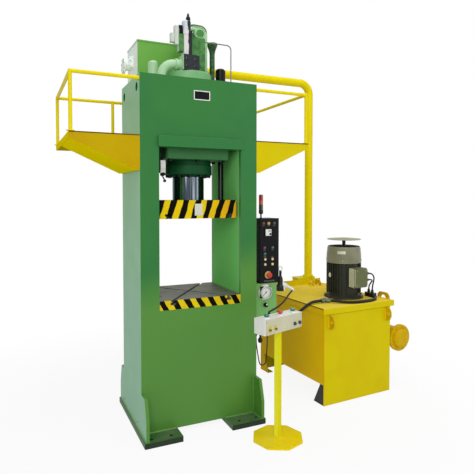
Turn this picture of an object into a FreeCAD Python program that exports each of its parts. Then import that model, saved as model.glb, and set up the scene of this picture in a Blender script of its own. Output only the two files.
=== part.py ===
import FreeCAD, Part
import math
import os

V = FreeCAD.Vector
UP = V(0, 0, 1)

# Down-stroking hydraulic press: closed plate frame, crown platform, operator
# station, two-hand pedestal and oil power pack.  Millimetres.  The origin is on
# the floor under the middle of the frame, +X runs along the frame's width
# towards the power pack and the front faces -Y.

# ---- press frame
FRAME_W = 1000.0
FRAME_D = 650.0
FRAME_Z0 = 42.0
FRAME_Z1 = 2842.0
SIDE_T = 25.0
FACE_T = 30.0
JAMB_T = 20.0
DAYLIGHT_W = 700.0
FOOT_Y = 474.0
FOOT_BREAK_Y = 425.0
FOOT_LOW_Z = 191.0
FOOT_HIGH_Z = 358.0
FOOT_PLATE_W = 303.0
FOOT_HOLE_X = (291.0, 447.0)
FOOT_HOLE_Y = 423.0
FOOT_HOLE_R = 13.0
LIFT_HOLE_R = 35.0
LIFT_HOLE_Y = 227.0
LIFT_HOLE_Z = 2751.0
WIRE_HOLE_R = 11.0
WIRE_HOLE_Z = 98.0
BED_Z = 998.0
BOLSTER_T = 75.0
BED_SLOT_X = 240.0
SLOT_THROAT = 22.0
SLOT_HEAD = 37.0
CROWN_Z0 = 2285.0
CROWN_Z1 = 2367.0
CROWN_LIP = 25.0
TOP_PLATE_T = 30.0

# ---- cylinder, ram and platen (drawn 480 above the lowest stroke position)
MOUNT_HALF = 270.0
MOUNT_Z0 = 2200.0
BARREL_R = 195.0
BORE_R = 150.0
RAM_R = 135.0
RUN_FIT = 0.08
GLAND_R = 203.0
GLAND_Z0 = 2079.0
GLAND_BOLT_R = 178.0
COVER_R = 201.5
COVER_Z1 = 2940.0
CYLINDER_TOP = 2905.0
PISTON_Z0 = 2705.0
PISTON_T = 60.0
PLATEN_X = 335.0
PLATEN_Y = 275.0
PLATEN_SLOT_X = 265.0
PLATEN_Z0 = 1717.0
PLATEN_Z1 = 1867.0
GUIDE_X = 305.0
GUIDE_R = 22.5
GUIDE_TOP = 2890.0
GUIDE_SINK = 100.0
ROD_COVER_R = 44.0
ROD_COVER_Z1 = 3025.0
MANIFOLD_X = (-104.0, 40.0)
MANIFOLD_Y = (-190.0, -50.0)
MANIFOLD_Z1 = 3065.0
ELBOW_Z = 2989.0

# ---- crown platform
DECK_X = 1015.0
DECK_BACK = 775.0
DECK_Z = 2370.0
DECK_T = 8.0
DECK_EDGE_Z = 2323.0
GUSSET_Z = 2100.0
RAIL_R = 14.0
RAIL_Z = 2801.0
RAIL_SCRAP = 20000.0

# ---- operator panel
COLUMN_X1 = 786.0
COLUMN_Y = (-170.0, 10.0)
COLUMN_Z = (660.0, 1117.0)
PANEL_X = (615.0, 803.0)
PANEL_Y = (-157.0, 25.0)
PANEL_Z1 = 1700.0
DOOR_Y = -175.0
DOOR_SKIN = 3.0
SHEET_T = 3.0
LAMPS = ((646.0, 1656.0), (700.0, 1656.0), (755.0, 1656.0),
         (657.0, 1436.0), (740.0, 1436.0), (661.0, 1383.0))
BUTTONS = ((663.0, 1334.0), (737.0, 1334.0), (663.0, 1288.0), (737.0, 1288.0))
STOP_XZ = (694.0, 1192.0)
GAUGE_XZ = (667.0, 1038.0)
KNOB_XZ = (665.0, 924.0)
SPINDLE_R = 2.0
TOWER_XY = (650.0, -120.0)
JUNCTION_X = 842.0
NIPPLE_START = V(843, -144, 1112)
NIPPLE_END = V(959, -170, 1036)
LEAD_AIM = V(-84, -80, -13)
LEAD_OUT = 30.0

# ---- two-hand pedestal, turned towards the operator
PED_AT = V(480, -734, 0)
PED_TURN = 17.2
PED_ACROSS = 380.0
PED_BOX = (-210.0, 210.0, -66.0, 54.0, 859.0, 976.0)
PALM_X = 147.0
PALM_Y = -20.0

# ---- oil power pack, in its own axes a (width) and b (depth)
PACK_AT = V(1144, -409, 0)
PACK_TURN = 3.51
TANK_A = 808.0
TANK_B = 1105.0
TANK_PLATE = 10.0
TANK_LOW = 186.0
LID_Z0 = 850.0
LID_Z1 = 885.0
LID_RIGHT = 42.0
RIM_Z0 = 832.0
LUG_Z1 = 946.0
EAR_INSET = 51.0
EAR_T = 12.0
LIP_Z = 945.0
MOTOR_AB = (541.0, 374.0)
MOTOR_FLANGE_R = 195.0
MOTOR_CORE_R = 150.0
ROTOR_SPACE_R = 90.0
FIN_R = 172.0
SHAFT_LOW_R = 24.0
SHAFT_TOP_R = 22.0
FIN_COUNT = 36
STATOR_Z0 = 905.0
STATOR_Z1 = 1236.0
COWL_Z1 = 1398.0
GRILLE_Z = 1388.0
CANOPY_Z = 1458.0
COOLER_AZ = (945.0, 497.0)
ELBOW_AT = (176.0, 214.0)
ELBOW_WAY = (0.766, -0.643)
BOX_HALF = 82.0
BOSS_AT = (755.0, 162.0)
BOSS_WAY = (0.527, 0.85)
PIPE_R = 44.45
PIPE_Y = 785.0
PIPE_X = 1749.0
PIPE_Z = 3200.0
PIPE_FOOT = 965.0

NODES = {}


# ---- shape helpers ---------------------------------------------------------
def block(x0, x1, y0, y1, z0, z1):
    """Box from its limits along each axis."""
    return Part.makeBox(x1 - x0, y1 - y0, z1 - z0, V(x0, y0, z0))


def rod(x, y, z, r, length, axis=UP):
    """Round bar from a start point."""
    return Part.makeCylinder(r, length, V(x, y, z), axis)


def tube(x, y, z, r_out, r_in, length, axis=UP):
    """Round tube from a start point."""
    return rod(x, y, z, r_out, length, axis).cut(rod(x, y, z, r_in, length, axis))


def sheet(points, push):
    """Plate with a flat outline, thickened by the push vector."""
    outline = Part.makePolygon(points + [points[0]])
    return Part.Face(outline).extrude(push)


def sheet_yz(points, x0, x1):
    """Plate standing across X, outline in Y and Z."""
    return sheet([V(x0, y, z) for y, z in points], V(x1 - x0, 0, 0))


def sheet_xz(points, y0, y1):
    """Plate standing across Y, outline in X and Z."""
    return sheet([V(x, y0, z) for x, z in points], V(0, y1 - y0, 0))


def turned(profile, x, y):
    """Solid of revolution about a vertical line; profile is radius and height."""
    points = [V(r, 0, z) for r, z in profile]
    face = Part.Face(Part.makePolygon(points + [points[0]]))
    solid = face.revolve(V(0, 0, 0), UP, 360)
    solid.translate(V(x, y, 0))
    return solid


def lathe_y(profile, x, z):
    """Solid of revolution about a line along Y; profile is radius and Y."""
    points = [V(r, y, 0) for r, y in profile]
    face = Part.Face(Part.makePolygon(points + [points[0]]))
    solid = face.revolve(V(0, 0, 0), V(0, 1, 0), 360)
    solid.translate(V(x, 0, z))
    return solid


def hexagon(x, y, z, across, height):
    """Hexagon bolt head or nut standing on a level face."""
    r = across / math.sqrt(3.0)
    ring = [V(x + r * math.cos(math.radians(60 * k)), y + r * math.sin(math.radians(60 * k)), z)
            for k in range(6)]
    return sheet(ring, V(0, 0, height))


def union(shapes):
    """One solid out of overlapping or touching ones."""
    return shapes[0].fuse(shapes[1:]).removeSplitter()


def bevel(shape, size, keep):
    """Chamfer on the edges that keep() picks."""
    return shape.makeChamfer(size, [e for e in shape.Edges if keep(e)])


def rounded(shape, size, keep):
    """Fillet on the edges that keep() picks."""
    return shape.makeFillet(size, [e for e in shape.Edges if keep(e)])


def upright(edge):
    """True for a straight vertical edge."""
    if not isinstance(edge.Curve, Part.Line):
        return False
    return abs(edge.tangentAt(edge.FirstParameter).z) > 0.999


def inward(edge):
    """True for a straight edge that runs from front to back."""
    if not isinstance(edge.Curve, Part.Line):
        return False
    return abs(edge.tangentAt(edge.FirstParameter).y) > 0.999


def place(shape, at, degrees):
    """A copy turned about the vertical and moved to its place on the floor."""
    moved = shape.copy()
    moved.rotate(V(0, 0, 0), UP, degrees)
    moved.translate(at)
    return moved


def spot(a, b, z, at, degrees):
    """World point of a local one."""
    c = math.cos(math.radians(degrees))
    s = math.sin(math.radians(degrees))
    return V(at.x + a * c - b * s, at.y + a * s + b * c, z)


def bent_route(points, radius=None):
    """Straight runs joined by tangent arcs; returns the wire, its length and the bend radii."""
    edges = []
    radii = []
    start = points[0]
    for k in range(1, len(points) - 1):
        into = points[k] - points[k - 1]
        away = points[k + 1] - points[k]
        half = into.getAngle(away) / 2.0
        reach = 0.45 * min(into.Length, away.Length)
        if radius is not None:
            reach = radius * math.tan(half)
        radii.append(reach / math.tan(half))
        into.normalize()
        away.normalize()
        first = points[k] - into * reach
        last = points[k] + away * reach
        side = away - into
        side.normalize()
        bulge = radii[-1] / math.cos(half) - radii[-1]
        edges.append(Part.LineSegment(start, first).toShape())
        edges.append(Part.Arc(first, points[k] + side * bulge, last).toShape())
        start = last
    edges.append(Part.LineSegment(start, points[-1]).toShape())
    wire = Part.Wire(edges)
    return wire, wire.Length, radii


def cord(points, r, radius=None):
    """Round bar swept along a bent route."""
    wire, length, radii = bent_route(points, radius)
    ring = Part.Wire(Part.makeCircle(r, points[0], points[1] - points[0]))
    solid = wire.makePipeShell([ring], True, False)
    ideal = math.pi * r * r * length
    print("route r %.1f length %.0f volume ratio %.4f bends %s"
          % (r, length, solid.Volume / ideal, [round(v) for v in radii]))
    return solid


def pipe(points, r_out, r_in, radius):
    """Bent rigid pipe with its bore."""
    return cord(points, r_out, radius).cut(cord(points, r_in, radius))


# ---- press frame -----------------------------------------------------------
def face_plates():
    """Front and back plates, each with the working window."""
    plates = []
    for y0 in (-FRAME_D / 2, FRAME_D / 2 - FACE_T):
        inner = FRAME_W / 2 - SIDE_T
        plate = block(-inner, inner, y0, y0 + FACE_T, FRAME_Z0, FRAME_Z1)
        window = block(-DAYLIGHT_W / 2, DAYLIGHT_W / 2, y0 - 1, y0 + FACE_T + 1, BED_Z, CROWN_Z1)
        plates.append(plate.cut(window))
    return Part.makeCompound(plates)


def side_plates():
    """Side plates flame cut in one piece with their flared feet."""
    d = FRAME_D / 2
    half = [(d, FRAME_Z1), (d, FOOT_HIGH_Z), (FOOT_BREAK_Y, FOOT_HIGH_Z),
            (FOOT_Y, FOOT_LOW_Z), (FOOT_Y, FRAME_Z0)]
    outline = half + [(-y, z) for y, z in reversed(half)]
    plates = []
    for x0 in (-FRAME_W / 2, FRAME_W / 2 - SIDE_T):
        plate = sheet_yz(outline, x0, x0 + SIDE_T)
        for y in (-LIFT_HOLE_Y, LIFT_HOLE_Y):
            plate = plate.cut(rod(x0 - 1, y, LIFT_HOLE_Z, LIFT_HOLE_R, SIDE_T + 2, V(1, 0, 0)))
        for y in (-205.0, 289.0):
            plate = plate.cut(rod(x0 - 1, y, WIRE_HOLE_Z, WIRE_HOLE_R, SIDE_T + 2, V(1, 0, 0)))
        plates.append(plate)
    return Part.makeCompound(plates)


def jamb_plates():
    """Inner walls of the working space, from bed to crown."""
    inside = FRAME_D / 2 - FACE_T
    half = DAYLIGHT_W / 2
    return Part.makeCompound([block(x, x + JAMB_T, -inside, inside, FRAME_Z0, FRAME_Z1 - TOP_PLATE_T)
                              for x in (-half - JAMB_T, half)])


def crown_box():
    """Thick lower crown plate with its proud lip, two ribs and the top plate."""
    half = DAYLIGHT_W / 2
    inside = FRAME_D / 2 - FACE_T
    front = -FRAME_D / 2
    lower = union([block(-half, half, front, FRAME_D / 2, CROWN_Z0, CROWN_Z1),
                   block(-half - 10, half + 6, front - CROWN_LIP, front, CROWN_Z0, CROWN_Z1)])
    lower = lower.cut(rod(0, 0, CROWN_Z0 - 1, BARREL_R, 100))
    top = block(-FRAME_W / 2 + SIDE_T, FRAME_W / 2 - SIDE_T, -inside, inside,
                FRAME_Z1 - TOP_PLATE_T, FRAME_Z1)
    top = top.cut(rod(0, 0, FRAME_Z1 - 50, BARREL_R, 100))
    for x in (-GUIDE_X, GUIDE_X):
        lower = lower.cut(rod(x, 0, CROWN_Z0 - 1, 35, 100))
        top = top.cut(rod(x, 0, FRAME_Z1 - 50, 30, 100))
    ribs = [block(x - 10, x + 10, -inside, inside, CROWN_Z1, FRAME_Z1 - TOP_PLATE_T)
            for x in (-235.0, 235.0)]
    return Part.makeCompound([lower, top] + ribs)


def bed_box():
    """Bed weldment under the bolster."""
    half = DAYLIGHT_W / 2
    inside = FRAME_D / 2 - FACE_T
    parts = [block(-half, half, -inside, inside, BED_Z - 50, BED_Z),
             block(-half, half, -inside, inside, FRAME_Z0, FRAME_Z0 + 40)]
    for x in (-120.0, 120.0):
        parts.append(block(x - 10, x + 10, -inside, inside, FRAME_Z0 + 40, BED_Z - 50))
    return Part.makeCompound(parts)


def foot_plates():
    """Two floor plates with foundation bolt holes at their four ends."""
    outer = FRAME_W / 2 + 12
    plates = []
    for side in (-1, 1):
        x0, x1 = sorted((side * outer, side * (outer - FOOT_PLATE_W)))
        plate = block(x0, x1, -FOOT_Y - 5, FOOT_Y + 5, 0, FRAME_Z0)
        plate = bevel(plate, 4, upright)
        for x in FOOT_HOLE_X:
            for y in (-FOOT_HOLE_Y, FOOT_HOLE_Y):
                plate = plate.cut(rod(side * x, y, -1, FOOT_HOLE_R, FRAME_Z0 + 2))
        plates.append(plate)
    return Part.makeCompound(plates)


def tee_slots(plate, corner, level, way):
    """Two crossing diagonal T slots out through the corner points; way is -1 down from a top face."""
    reach = 1300.0
    turn = math.degrees(math.atan2(corner[1], corner[0]))
    for angle in (turn, -turn):
        z = sorted((level, level + way * 20.0))
        throat = block(-reach / 2, reach / 2, -SLOT_THROAT / 2, SLOT_THROAT / 2, z[0], z[1])
        z = sorted((level + way * 20.0, level + way * 38.0))
        head = block(-reach / 2, reach / 2, -SLOT_HEAD / 2, SLOT_HEAD / 2, z[0], z[1])
        slot = throat.fuse(head)
        slot.rotate(V(0, 0, 0), UP, angle)
        plate = plate.cut(slot)
    return plate


def bolster():
    """Machined bolster with diagonal T slots through its top."""
    half = DAYLIGHT_W / 2 - 0.5
    plate = block(-half, half, -FRAME_D / 2, FRAME_D / 2, BED_Z, BED_Z + BOLSTER_T)
    plate = tee_slots(plate, (BED_SLOT_X, FRAME_D / 2), BED_Z + BOLSTER_T, -1)
    for x in (-300.0, 300.0):
        for y in (-130.0, 130.0):
            plate = plate.cut(rod(x, y, BED_Z - 1, 11, BOLSTER_T + 2))
            plate = plate.cut(rod(x, y, BED_Z + BOLSTER_T - 26, 18, 30))
    return plate


# ---- cylinder and moving platen ----------------------------------------------
def mount_plate():
    """Square plate that carries the cylinder under the crown."""
    plate = block(-MOUNT_HALF, MOUNT_HALF, -MOUNT_HALF, MOUNT_HALF, MOUNT_Z0, CROWN_Z0)
    plate = bevel(plate, 12, upright)
    return plate.cut(rod(0, 0, MOUNT_Z0 - 1, BARREL_R, 100))


def top_cover():
    """Cylinder head cover standing on the crown."""
    return turned([(0, CYLINDER_TOP), (BORE_R, CYLINDER_TOP), (BORE_R, FRAME_Z1), (COVER_R, FRAME_Z1),
                   (COVER_R, COVER_Z1 - 8), (COVER_R - 8, COVER_Z1), (0, COVER_Z1)], 0, 0)


def gland_flange():
    """Gland with the ram's guide bore and wiper ring."""
    bore = RAM_R + RUN_FIT
    return turned([(bore, GLAND_Z0 - 12), (bore + 16, GLAND_Z0 - 12), (bore + 20, GLAND_Z0),
                   (GLAND_R - 5, GLAND_Z0), (GLAND_R, GLAND_Z0 + 5), (GLAND_R, MOUNT_Z0 - 40),
                   (GLAND_R - 6, MOUNT_Z0 - 34), (GLAND_R - 6, MOUNT_Z0), (bore, MOUNT_Z0)], 0, 0)


def cylinder_bolts():
    """Hexagon heads of the gland, mount plate and head cover."""
    heads = []
    for k in range(12):
        t = math.radians(30 * k + 15)
        heads.append(hexagon(GLAND_BOLT_R * math.cos(t), GLAND_BOLT_R * math.sin(t),
                             GLAND_Z0 - 20, 30, 20))
    for k in (0, 1, 2, 3, 4, 7):
        t = math.radians(45 * k)
        heads.append(hexagon(GLAND_BOLT_R * math.cos(t), GLAND_BOLT_R * math.sin(t), COVER_Z1, 36, 16))
    for x in (-235.0, 0.0, 235.0):
        for y in (-235.0, 0.0, 235.0):
            if x or y:
                heads.append(hexagon(x, y, MOUNT_Z0 - 18, 30, 18))
    return Part.makeCompound(heads)


def ram():
    """Chromed ram with its piston head."""
    top = PISTON_Z0 + PISTON_T
    return turned([(0, PLATEN_Z1), (RAM_R, PLATEN_Z1), (RAM_R, PISTON_Z0),
                   (BORE_R - RUN_FIT - 4, PISTON_Z0), (BORE_R - RUN_FIT, PISTON_Z0 + 4),
                   (BORE_R - RUN_FIT, top - 4), (BORE_R - RUN_FIT - 4, top), (0, top)], 0, 0)


def platen():
    """Moving platen with T slots below and sockets for the guide rods."""
    plate = block(-PLATEN_X, PLATEN_X, -PLATEN_Y, PLATEN_Y, PLATEN_Z0, PLATEN_Z1)
    plate = bevel(plate, 3, upright)
    plate = tee_slots(plate, (PLATEN_SLOT_X, PLATEN_Y), PLATEN_Z0, 1)
    for x in (-GUIDE_X, GUIDE_X):
        plate = plate.cut(rod(x, 0, PLATEN_Z1 - GUIDE_SINK, GUIDE_R, GUIDE_SINK + 1))
    return plate


def guide_rods():
    """Two rods that keep the platen square."""
    low = PLATEN_Z1 - GUIDE_SINK
    return Part.makeCompound([turned([(0, low), (GUIDE_R, low), (GUIDE_R, GUIDE_TOP - 4),
                                      (GUIDE_R - 4, GUIDE_TOP), (0, GUIDE_TOP)], x, 0)
                              for x in (-GUIDE_X, GUIDE_X)])


def guide_bushes():
    """Flanged bushes in the lower crown plate and the closed covers over the rod ends."""
    parts = []
    bore = GUIDE_R + RUN_FIT
    for x in (-GUIDE_X, GUIDE_X):
        parts.append(turned([(bore, CROWN_Z0 - 4), (35, CROWN_Z0 - 4), (35, CROWN_Z1), (43, CROWN_Z1),
                             (43, CROWN_Z1 + 26), (39, CROWN_Z1 + 30), (bore, CROWN_Z1 + 30)], x, 0))
        parts.append(turned([(30, FRAME_Z1), (58, FRAME_Z1), (58, FRAME_Z1 + 12),
                             (ROD_COVER_R, FRAME_Z1 + 12), (ROD_COVER_R, ROD_COVER_Z1 - 14),
                             (ROD_COVER_R - 14, ROD_COVER_Z1), (0, ROD_COVER_Z1),
                             (0, ROD_COVER_Z1 - 7), (30, ROD_COVER_Z1 - 7)], x, 0))
    return Part.makeCompound(parts)


def limit_switch():
    """Upper stroke switch on its bracket under the crown."""
    return Part.makeCompound([
        union([block(-322, -316, -245, -195, 2110, CROWN_Z0),
               block(-316, -286, -245, -195, CROWN_Z0 - 6, CROWN_Z0)]),
        union([bevel(block(-316, -270, -240, -200, 2085, 2185), 3, upright),
               rod(-293, -242, 2075, 15, 44, V(0, 1, 0)),
               rod(-293, -220, 2185, 11, 16)])])


def limit_switch_arm():
    """Roller lever of the switch."""
    lever = block(-5, 5, -198, -193, -58, 0)
    lever = union([lever, rod(0, -198, 0, 9, 5, V(0, 1, 0)), rod(0, -198, -58, 8, 5, V(0, 1, 0)),
                   rod(0, -193, -58, 12, 9, V(0, 1, 0))])
    lever.rotate(V(0, 0, 0), V(0, 1, 0), -28)
    lever.translate(V(-293, 0, 2075))
    return lever


# ---- hydraulics on the crown ---------------------------------------------------
def prefill_tank():
    """Closed header tank behind the cylinder with its lid plate, brackets, eyes and side nozzle."""
    x0, x1, y0, y1 = -387.0, 250.0, 210.0, 600.0
    z0, z1 = FRAME_Z1, 3247.0
    wall = 5.0
    body = block(x0, x1, y0, y1, z0, z1)
    body = body.cut(block(x0 + wall, x1 - wall, y0 + wall, y1 - wall, z0 + wall, z1 - wall))
    lid = block(x0 - 4, x1 + 4, y0 - 4, y1 + 4, z1, z1 + 12)
    neck = rod(x0 - 50, 500, 3090, 38, 50, V(1, 0, 0))
    blank = rod(x0 - 66, 500, 3090, 72, 16, V(1, 0, 0))
    parts = [body, lid, neck, blank]
    for x in (x0, x1):
        side = -1 if x == x0 else 1
        tab = sheet_xz([(x, 3060), (x + side * 34, 3074), (x + side * 46, 3100), (x + side * 46, 3120),
                        (x + side * 34, 3146), (x, 3160)], 374, 388)
        parts.append(tab.cut(rod(x + side * 26, 370, 3110, 14, 30, V(0, 1, 0))))
    for x in (-300.0, 170.0):
        parts.append(sheet_yz([(FRAME_D / 2, 2640), (y1 - 20, z0 - 30), (y1 - 20, z0), (FRAME_D / 2, z0)],
                              x - 6, x + 6))
    return Part.makeCompound(parts)


def elbow_pipe():
    """Large flanged elbow from the crown to the valve block."""
    x, y = -268.0, -120.0
    face = MANIFOLD_X[0]
    along = V(1, 0, 0)
    bend = pipe([V(x, y, FRAME_Z1), V(x, y, ELBOW_Z), V(face - 36, y, ELBOW_Z)], 37, 32, 108)
    collars = [tube(face - 50, y, ELBOW_Z, 48, 37, 14, along), tube(face - 36, y, ELBOW_Z, 42, 32, 24, along),
               tube(face - 12, y, ELBOW_Z, 48, 32, 12, along), tube(x, y, FRAME_Z1, 60, 37, 14)]
    return union([bend] + collars)


def valve_block():
    """Drilled manifold on the cylinder cover with its port plugs, and the relief valve behind it."""
    x0, x1 = MANIFOLD_X
    y0, y1 = MANIFOLD_Y
    body = bevel(block(x0, x1, y0, y1, COVER_Z1, MANIFOLD_Z1), 4, upright)
    plugs = [rod(x, y0 - 8, z, 13, 8, V(0, 1, 0)) for x in (x0 + 36, x1 - 36) for z in (2975.0, 3032.0)]
    side = rod(x1, -120, ELBOW_Z, 26, 22, V(1, 0, 0))
    relief = block(20, 140, y1, 38, COVER_Z1, 3256)
    cap = lathe_y([(0, -46), (34, -46), (40, -40), (40, -30), (46, -30), (46, 38), (0, 38)], 96, 3300)
    return union([body, side, relief, cap] + plugs)


def solenoid_valve():
    """Directional valves with upright and side solenoids."""
    y = -120.0
    body = union([bevel(block(-86, -14, y - 40, y + 40, MANIFOLD_Z1, 3236), 5, upright),
                  bevel(block(-92, -14, y - 44, y + 44, 3236, 3268), 5, upright)])
    coil = turned([(0, 3268), (38, 3268), (38, 3346), (30, 3356), (0, 3356)], -54, y)
    plug = turned([(0, 3356), (19, 3356), (19, 3382), (11, 3398), (6, 3420), (0, 3420)], -38, y)
    pilot = bevel(block(-126, -86, y - 30, y + 30, 3096, 3236), 4, upright)
    cap = union([block(-126, -92, y - 30, y + 30, 3236, 3282), block(-124, -94, y - 26, y + 26, 3282, 3308)])
    coils = [bevel(block(-160, -126, y - 25, y + 25, 3149, 3302), 5, upright),
             bevel(block(-194, -160, y - 21, y + 21, 3166, 3238), 5, upright)]
    return Part.makeCompound([body, union([coil, plug]), union([pilot, cap])] + coils)


def crown_pipes():
    """Two return bends, the flared vent and the conduit of the solenoids."""
    first = cord([V(-5, 60, COVER_Z1), V(-5, 60, 3360), V(165, 60, 3360), V(165, 60, COVER_Z1)], 18, 76)
    second = cord([V(45, 110, COVER_Z1), V(45, 110, 3408), V(205, 110, 3408), V(205, 110, FRAME_Z1)], 17, 52)
    vent = turned([(18, FRAME_Z1), (46, FRAME_Z1), (46, FRAME_Z1 + 12), (24, FRAME_Z1 + 12), (24, 3196),
                   (30, 3228), (48, 3276), (48, 3292), (42, 3292), (24, 3232), (18, 3196)], 288, 155)
    conduit = cord([V(140, -24, 3236), V(396, -24, 3236), V(396, -24, FRAME_Z1)], 5, 40)
    return Part.makeCompound([first, second, vent, conduit])


def overflow_pipe():
    """Overflow line from the header tank down to the power pack."""
    line = pipe([V(100, 600, PIPE_Z), V(100, PIPE_Y, PIPE_Z), V(PIPE_X, PIPE_Y, PIPE_Z),
                 V(PIPE_X, PIPE_Y, PIPE_FOOT)], PIPE_R, PIPE_R - 4, 125)
    collar = tube(PIPE_X, PIPE_Y, PIPE_FOOT, 60, PIPE_R, 18)
    pad = block(40, 160, 600, 616, PIPE_Z - 62, PIPE_Z + 46)
    pad = pad.cut(rod(100, 599, PIPE_Z, PIPE_R, 18, V(0, 1, 0)))
    return union([line, collar, pad])


# ---- crown platform --------------------------------------------------------------
def platform_decks():
    """Walkway round the crown: decks, edge skirts, end gussets and sloping undersides."""
    press = FRAME_W / 2
    d = FRAME_D / 2
    low = DECK_Z - DECK_T
    parts = [block(-DECK_X, -press, -d, DECK_BACK, low, DECK_Z),
             block(press, DECK_X, -d, DECK_BACK, low, DECK_Z),
             block(-press, press, d, DECK_BACK, low, DECK_Z),
             block(-DECK_X + 8, DECK_X - 8, DECK_BACK - 8, DECK_BACK, DECK_EDGE_Z, low)]
    slope = (DECK_EDGE_Z - GUSSET_Z) / (DECK_X - press - 30)
    for side in (-1, 1):
        x0, x1 = sorted((side * DECK_X, side * (DECK_X - 8)))
        parts.append(block(x0, x1, -d + 8, DECK_BACK, DECK_EDGE_Z, low))
        outline = [(side * DECK_X, low), (side * press, low), (side * press, GUSSET_Z),
                   (side * (press + 30), GUSSET_Z), (side * DECK_X, DECK_EDGE_Z)]
        parts.append(sheet_xz(outline, -d, -d + 8))
        outline = [(side * (DECK_X - 8), low), (side * press, low), (side * press, GUSSET_Z),
                   (side * (press + 30), GUSSET_Z), (side * (DECK_X - 8), DECK_EDGE_Z - 8 * slope)]
        parts.append(sheet_xz(outline, d - 8, d))
        under = [(side * (DECK_X - 8), DECK_EDGE_Z - 8 * slope), (side * (press + 30), GUSSET_Z),
                 (side * press, GUSSET_Z), (side * press, GUSSET_Z + 7), (side * (press + 28), GUSSET_Z + 7),
                 (side * (DECK_X - 8), DECK_EDGE_Z + 3)]
        parts.append(sheet_xz(under, -d + 8, d - 8))
        x = side * 440.0
        bracket = [(d, low), (DECK_BACK - 8, low), (DECK_BACK - 8, DECK_EDGE_Z), (d, 2140)]
        parts.append(sheet_yz(bracket, x - 5, x + 5))
    return Part.makeCompound(parts)


def railing():
    """Posts and hand rails of round tube, rails coped to the posts."""
    x = DECK_X - RAIL_R
    front = -FRAME_D / 2 + RAIL_R
    back = DECK_BACK - RAIL_R
    spots = [(-x, front), (-x, back), (-FRAME_W / 2, back), (FRAME_W / 2, back), (x, back), (x, front)]
    posts = [turned([(0, DECK_Z), (30, DECK_Z), (30, DECK_Z + 6), (RAIL_R, DECK_Z + 6), (RAIL_R, RAIL_Z + 9),
                     (9, RAIL_Z + 14), (0, RAIL_Z + 14)], px, py) for px, py in spots]
    runs = [rod(-x, front, RAIL_Z, RAIL_R, x - FRAME_W / 2, V(1, 0, 0)),
            rod(-x, front, RAIL_Z, RAIL_R, back - front, V(0, 1, 0)),
            rod(-x, back, RAIL_Z, RAIL_R, 2 * x, V(1, 0, 0)),
            rod(x, front, RAIL_Z, RAIL_R, back - front, V(0, 1, 0)),
            rod(FRAME_W / 2, front, RAIL_Z, RAIL_R, x - FRAME_W / 2, V(1, 0, 0))]
    rails = []
    for run in runs:
        rails.extend(run.cut(posts + rails).Solids)
    return Part.makeCompound(posts + [rail for rail in rails if rail.Volume > RAIL_SCRAP])


# ---- operator panel ----------------------------------------------------------------
def panel_column():
    """Folded steel box on the press side that carries the gauge and the panel."""
    outer = block(FRAME_W / 2, COLUMN_X1, COLUMN_Y[0], COLUMN_Y[1], COLUMN_Z[0], COLUMN_Z[1])
    inner = block(FRAME_W / 2 + SHEET_T, COLUMN_X1 - SHEET_T, COLUMN_Y[0] + SHEET_T, COLUMN_Y[1] - SHEET_T,
                  COLUMN_Z[0] + SHEET_T, COLUMN_Z[1] - SHEET_T)
    box = bevel(outer, 2, upright).cut(inner)
    return box.cut(rod(KNOB_XZ[0], COLUMN_Y[0] - 1, KNOB_XZ[1], 7.05, SHEET_T + 2, V(0, 1, 0)))


def panel_box():
    """Enclosure of the switchgear, open to the front, with its mounting sheet."""
    outer = block(PANEL_X[0], PANEL_X[1], PANEL_Y[0], PANEL_Y[1], COLUMN_Z[1], PANEL_Z1)
    inner = block(PANEL_X[0] + SHEET_T, PANEL_X[1] - SHEET_T, PANEL_Y[0] - 1, PANEL_Y[1] - SHEET_T,
                  COLUMN_Z[1] + SHEET_T, PANEL_Z1 - SHEET_T)
    hooked = block(PANEL_X[0] + 20, PANEL_X[1] - 20, PANEL_Y[1] - 14, PANEL_Y[1] - SHEET_T,
                   COLUMN_Z[1] + 30, PANEL_Z1 - 30)
    return union([outer.cut(inner), hooked])


def panel_door():
    """Pan-shaped door with its hinge knuckles and holes for the buttons."""
    outer = block(PANEL_X[0] - 2, PANEL_X[1] + 2, DOOR_Y, PANEL_Y[0], COLUMN_Z[1] + 1, PANEL_Z1 + 2)
    inner = block(PANEL_X[0] + 1, PANEL_X[1] - 1, DOOR_Y + DOOR_SKIN, PANEL_Y[0] + 1,
                  COLUMN_Z[1] + 4, PANEL_Z1 - 1)
    door = bevel(outer, 1.5, upright).cut(inner)
    for z in (1190.0, 1590.0):
        door = door.fuse(rod(PANEL_X[0] - 5, PANEL_Y[0] - 9, z, 5, 50))
    for x, z in BUTTONS:
        door = door.cut(rod(x, DOOR_Y - 1, z, 11.1, 10, V(0, 1, 0)))
    return door.cut(rod(STOP_XZ[0], DOOR_Y - 1, STOP_XZ[1], 9.1, 10, V(0, 1, 0))).removeSplitter()


def panel_lamps():
    """Indicator lamps, the timer window, button bezels and the stop button's collar."""
    parts = []
    for x, z in LAMPS:
        parts.append(lathe_y([(0, DOOR_Y), (14, DOOR_Y), (14, DOOR_Y - 4), (11, DOOR_Y - 5),
                              (10, DOOR_Y - 10), (6, DOOR_Y - 13), (0, DOOR_Y - 14)], x, z))
    window = block(660, 732, DOOR_Y - 6, DOOR_Y, 1539, 1611)
    parts.append(window.cut(block(666, 726, DOOR_Y - 7, DOOR_Y - 4, 1545, 1605)))
    for x, z in BUTTONS:
        parts.append(lathe_y([(11.1, DOOR_Y), (14.5, DOOR_Y), (14.5, DOOR_Y - 3), (13, DOOR_Y - 5),
                              (11.1, DOOR_Y - 5)], x, z))
    parts.append(lathe_y([(9.1, DOOR_Y), (33, DOOR_Y), (33, DOOR_Y - 2), (18, DOOR_Y - 2), (16, DOOR_Y - 12),
                          (9.1, DOOR_Y - 12)], STOP_XZ[0], STOP_XZ[1]))
    return Part.makeCompound(parts)


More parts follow.
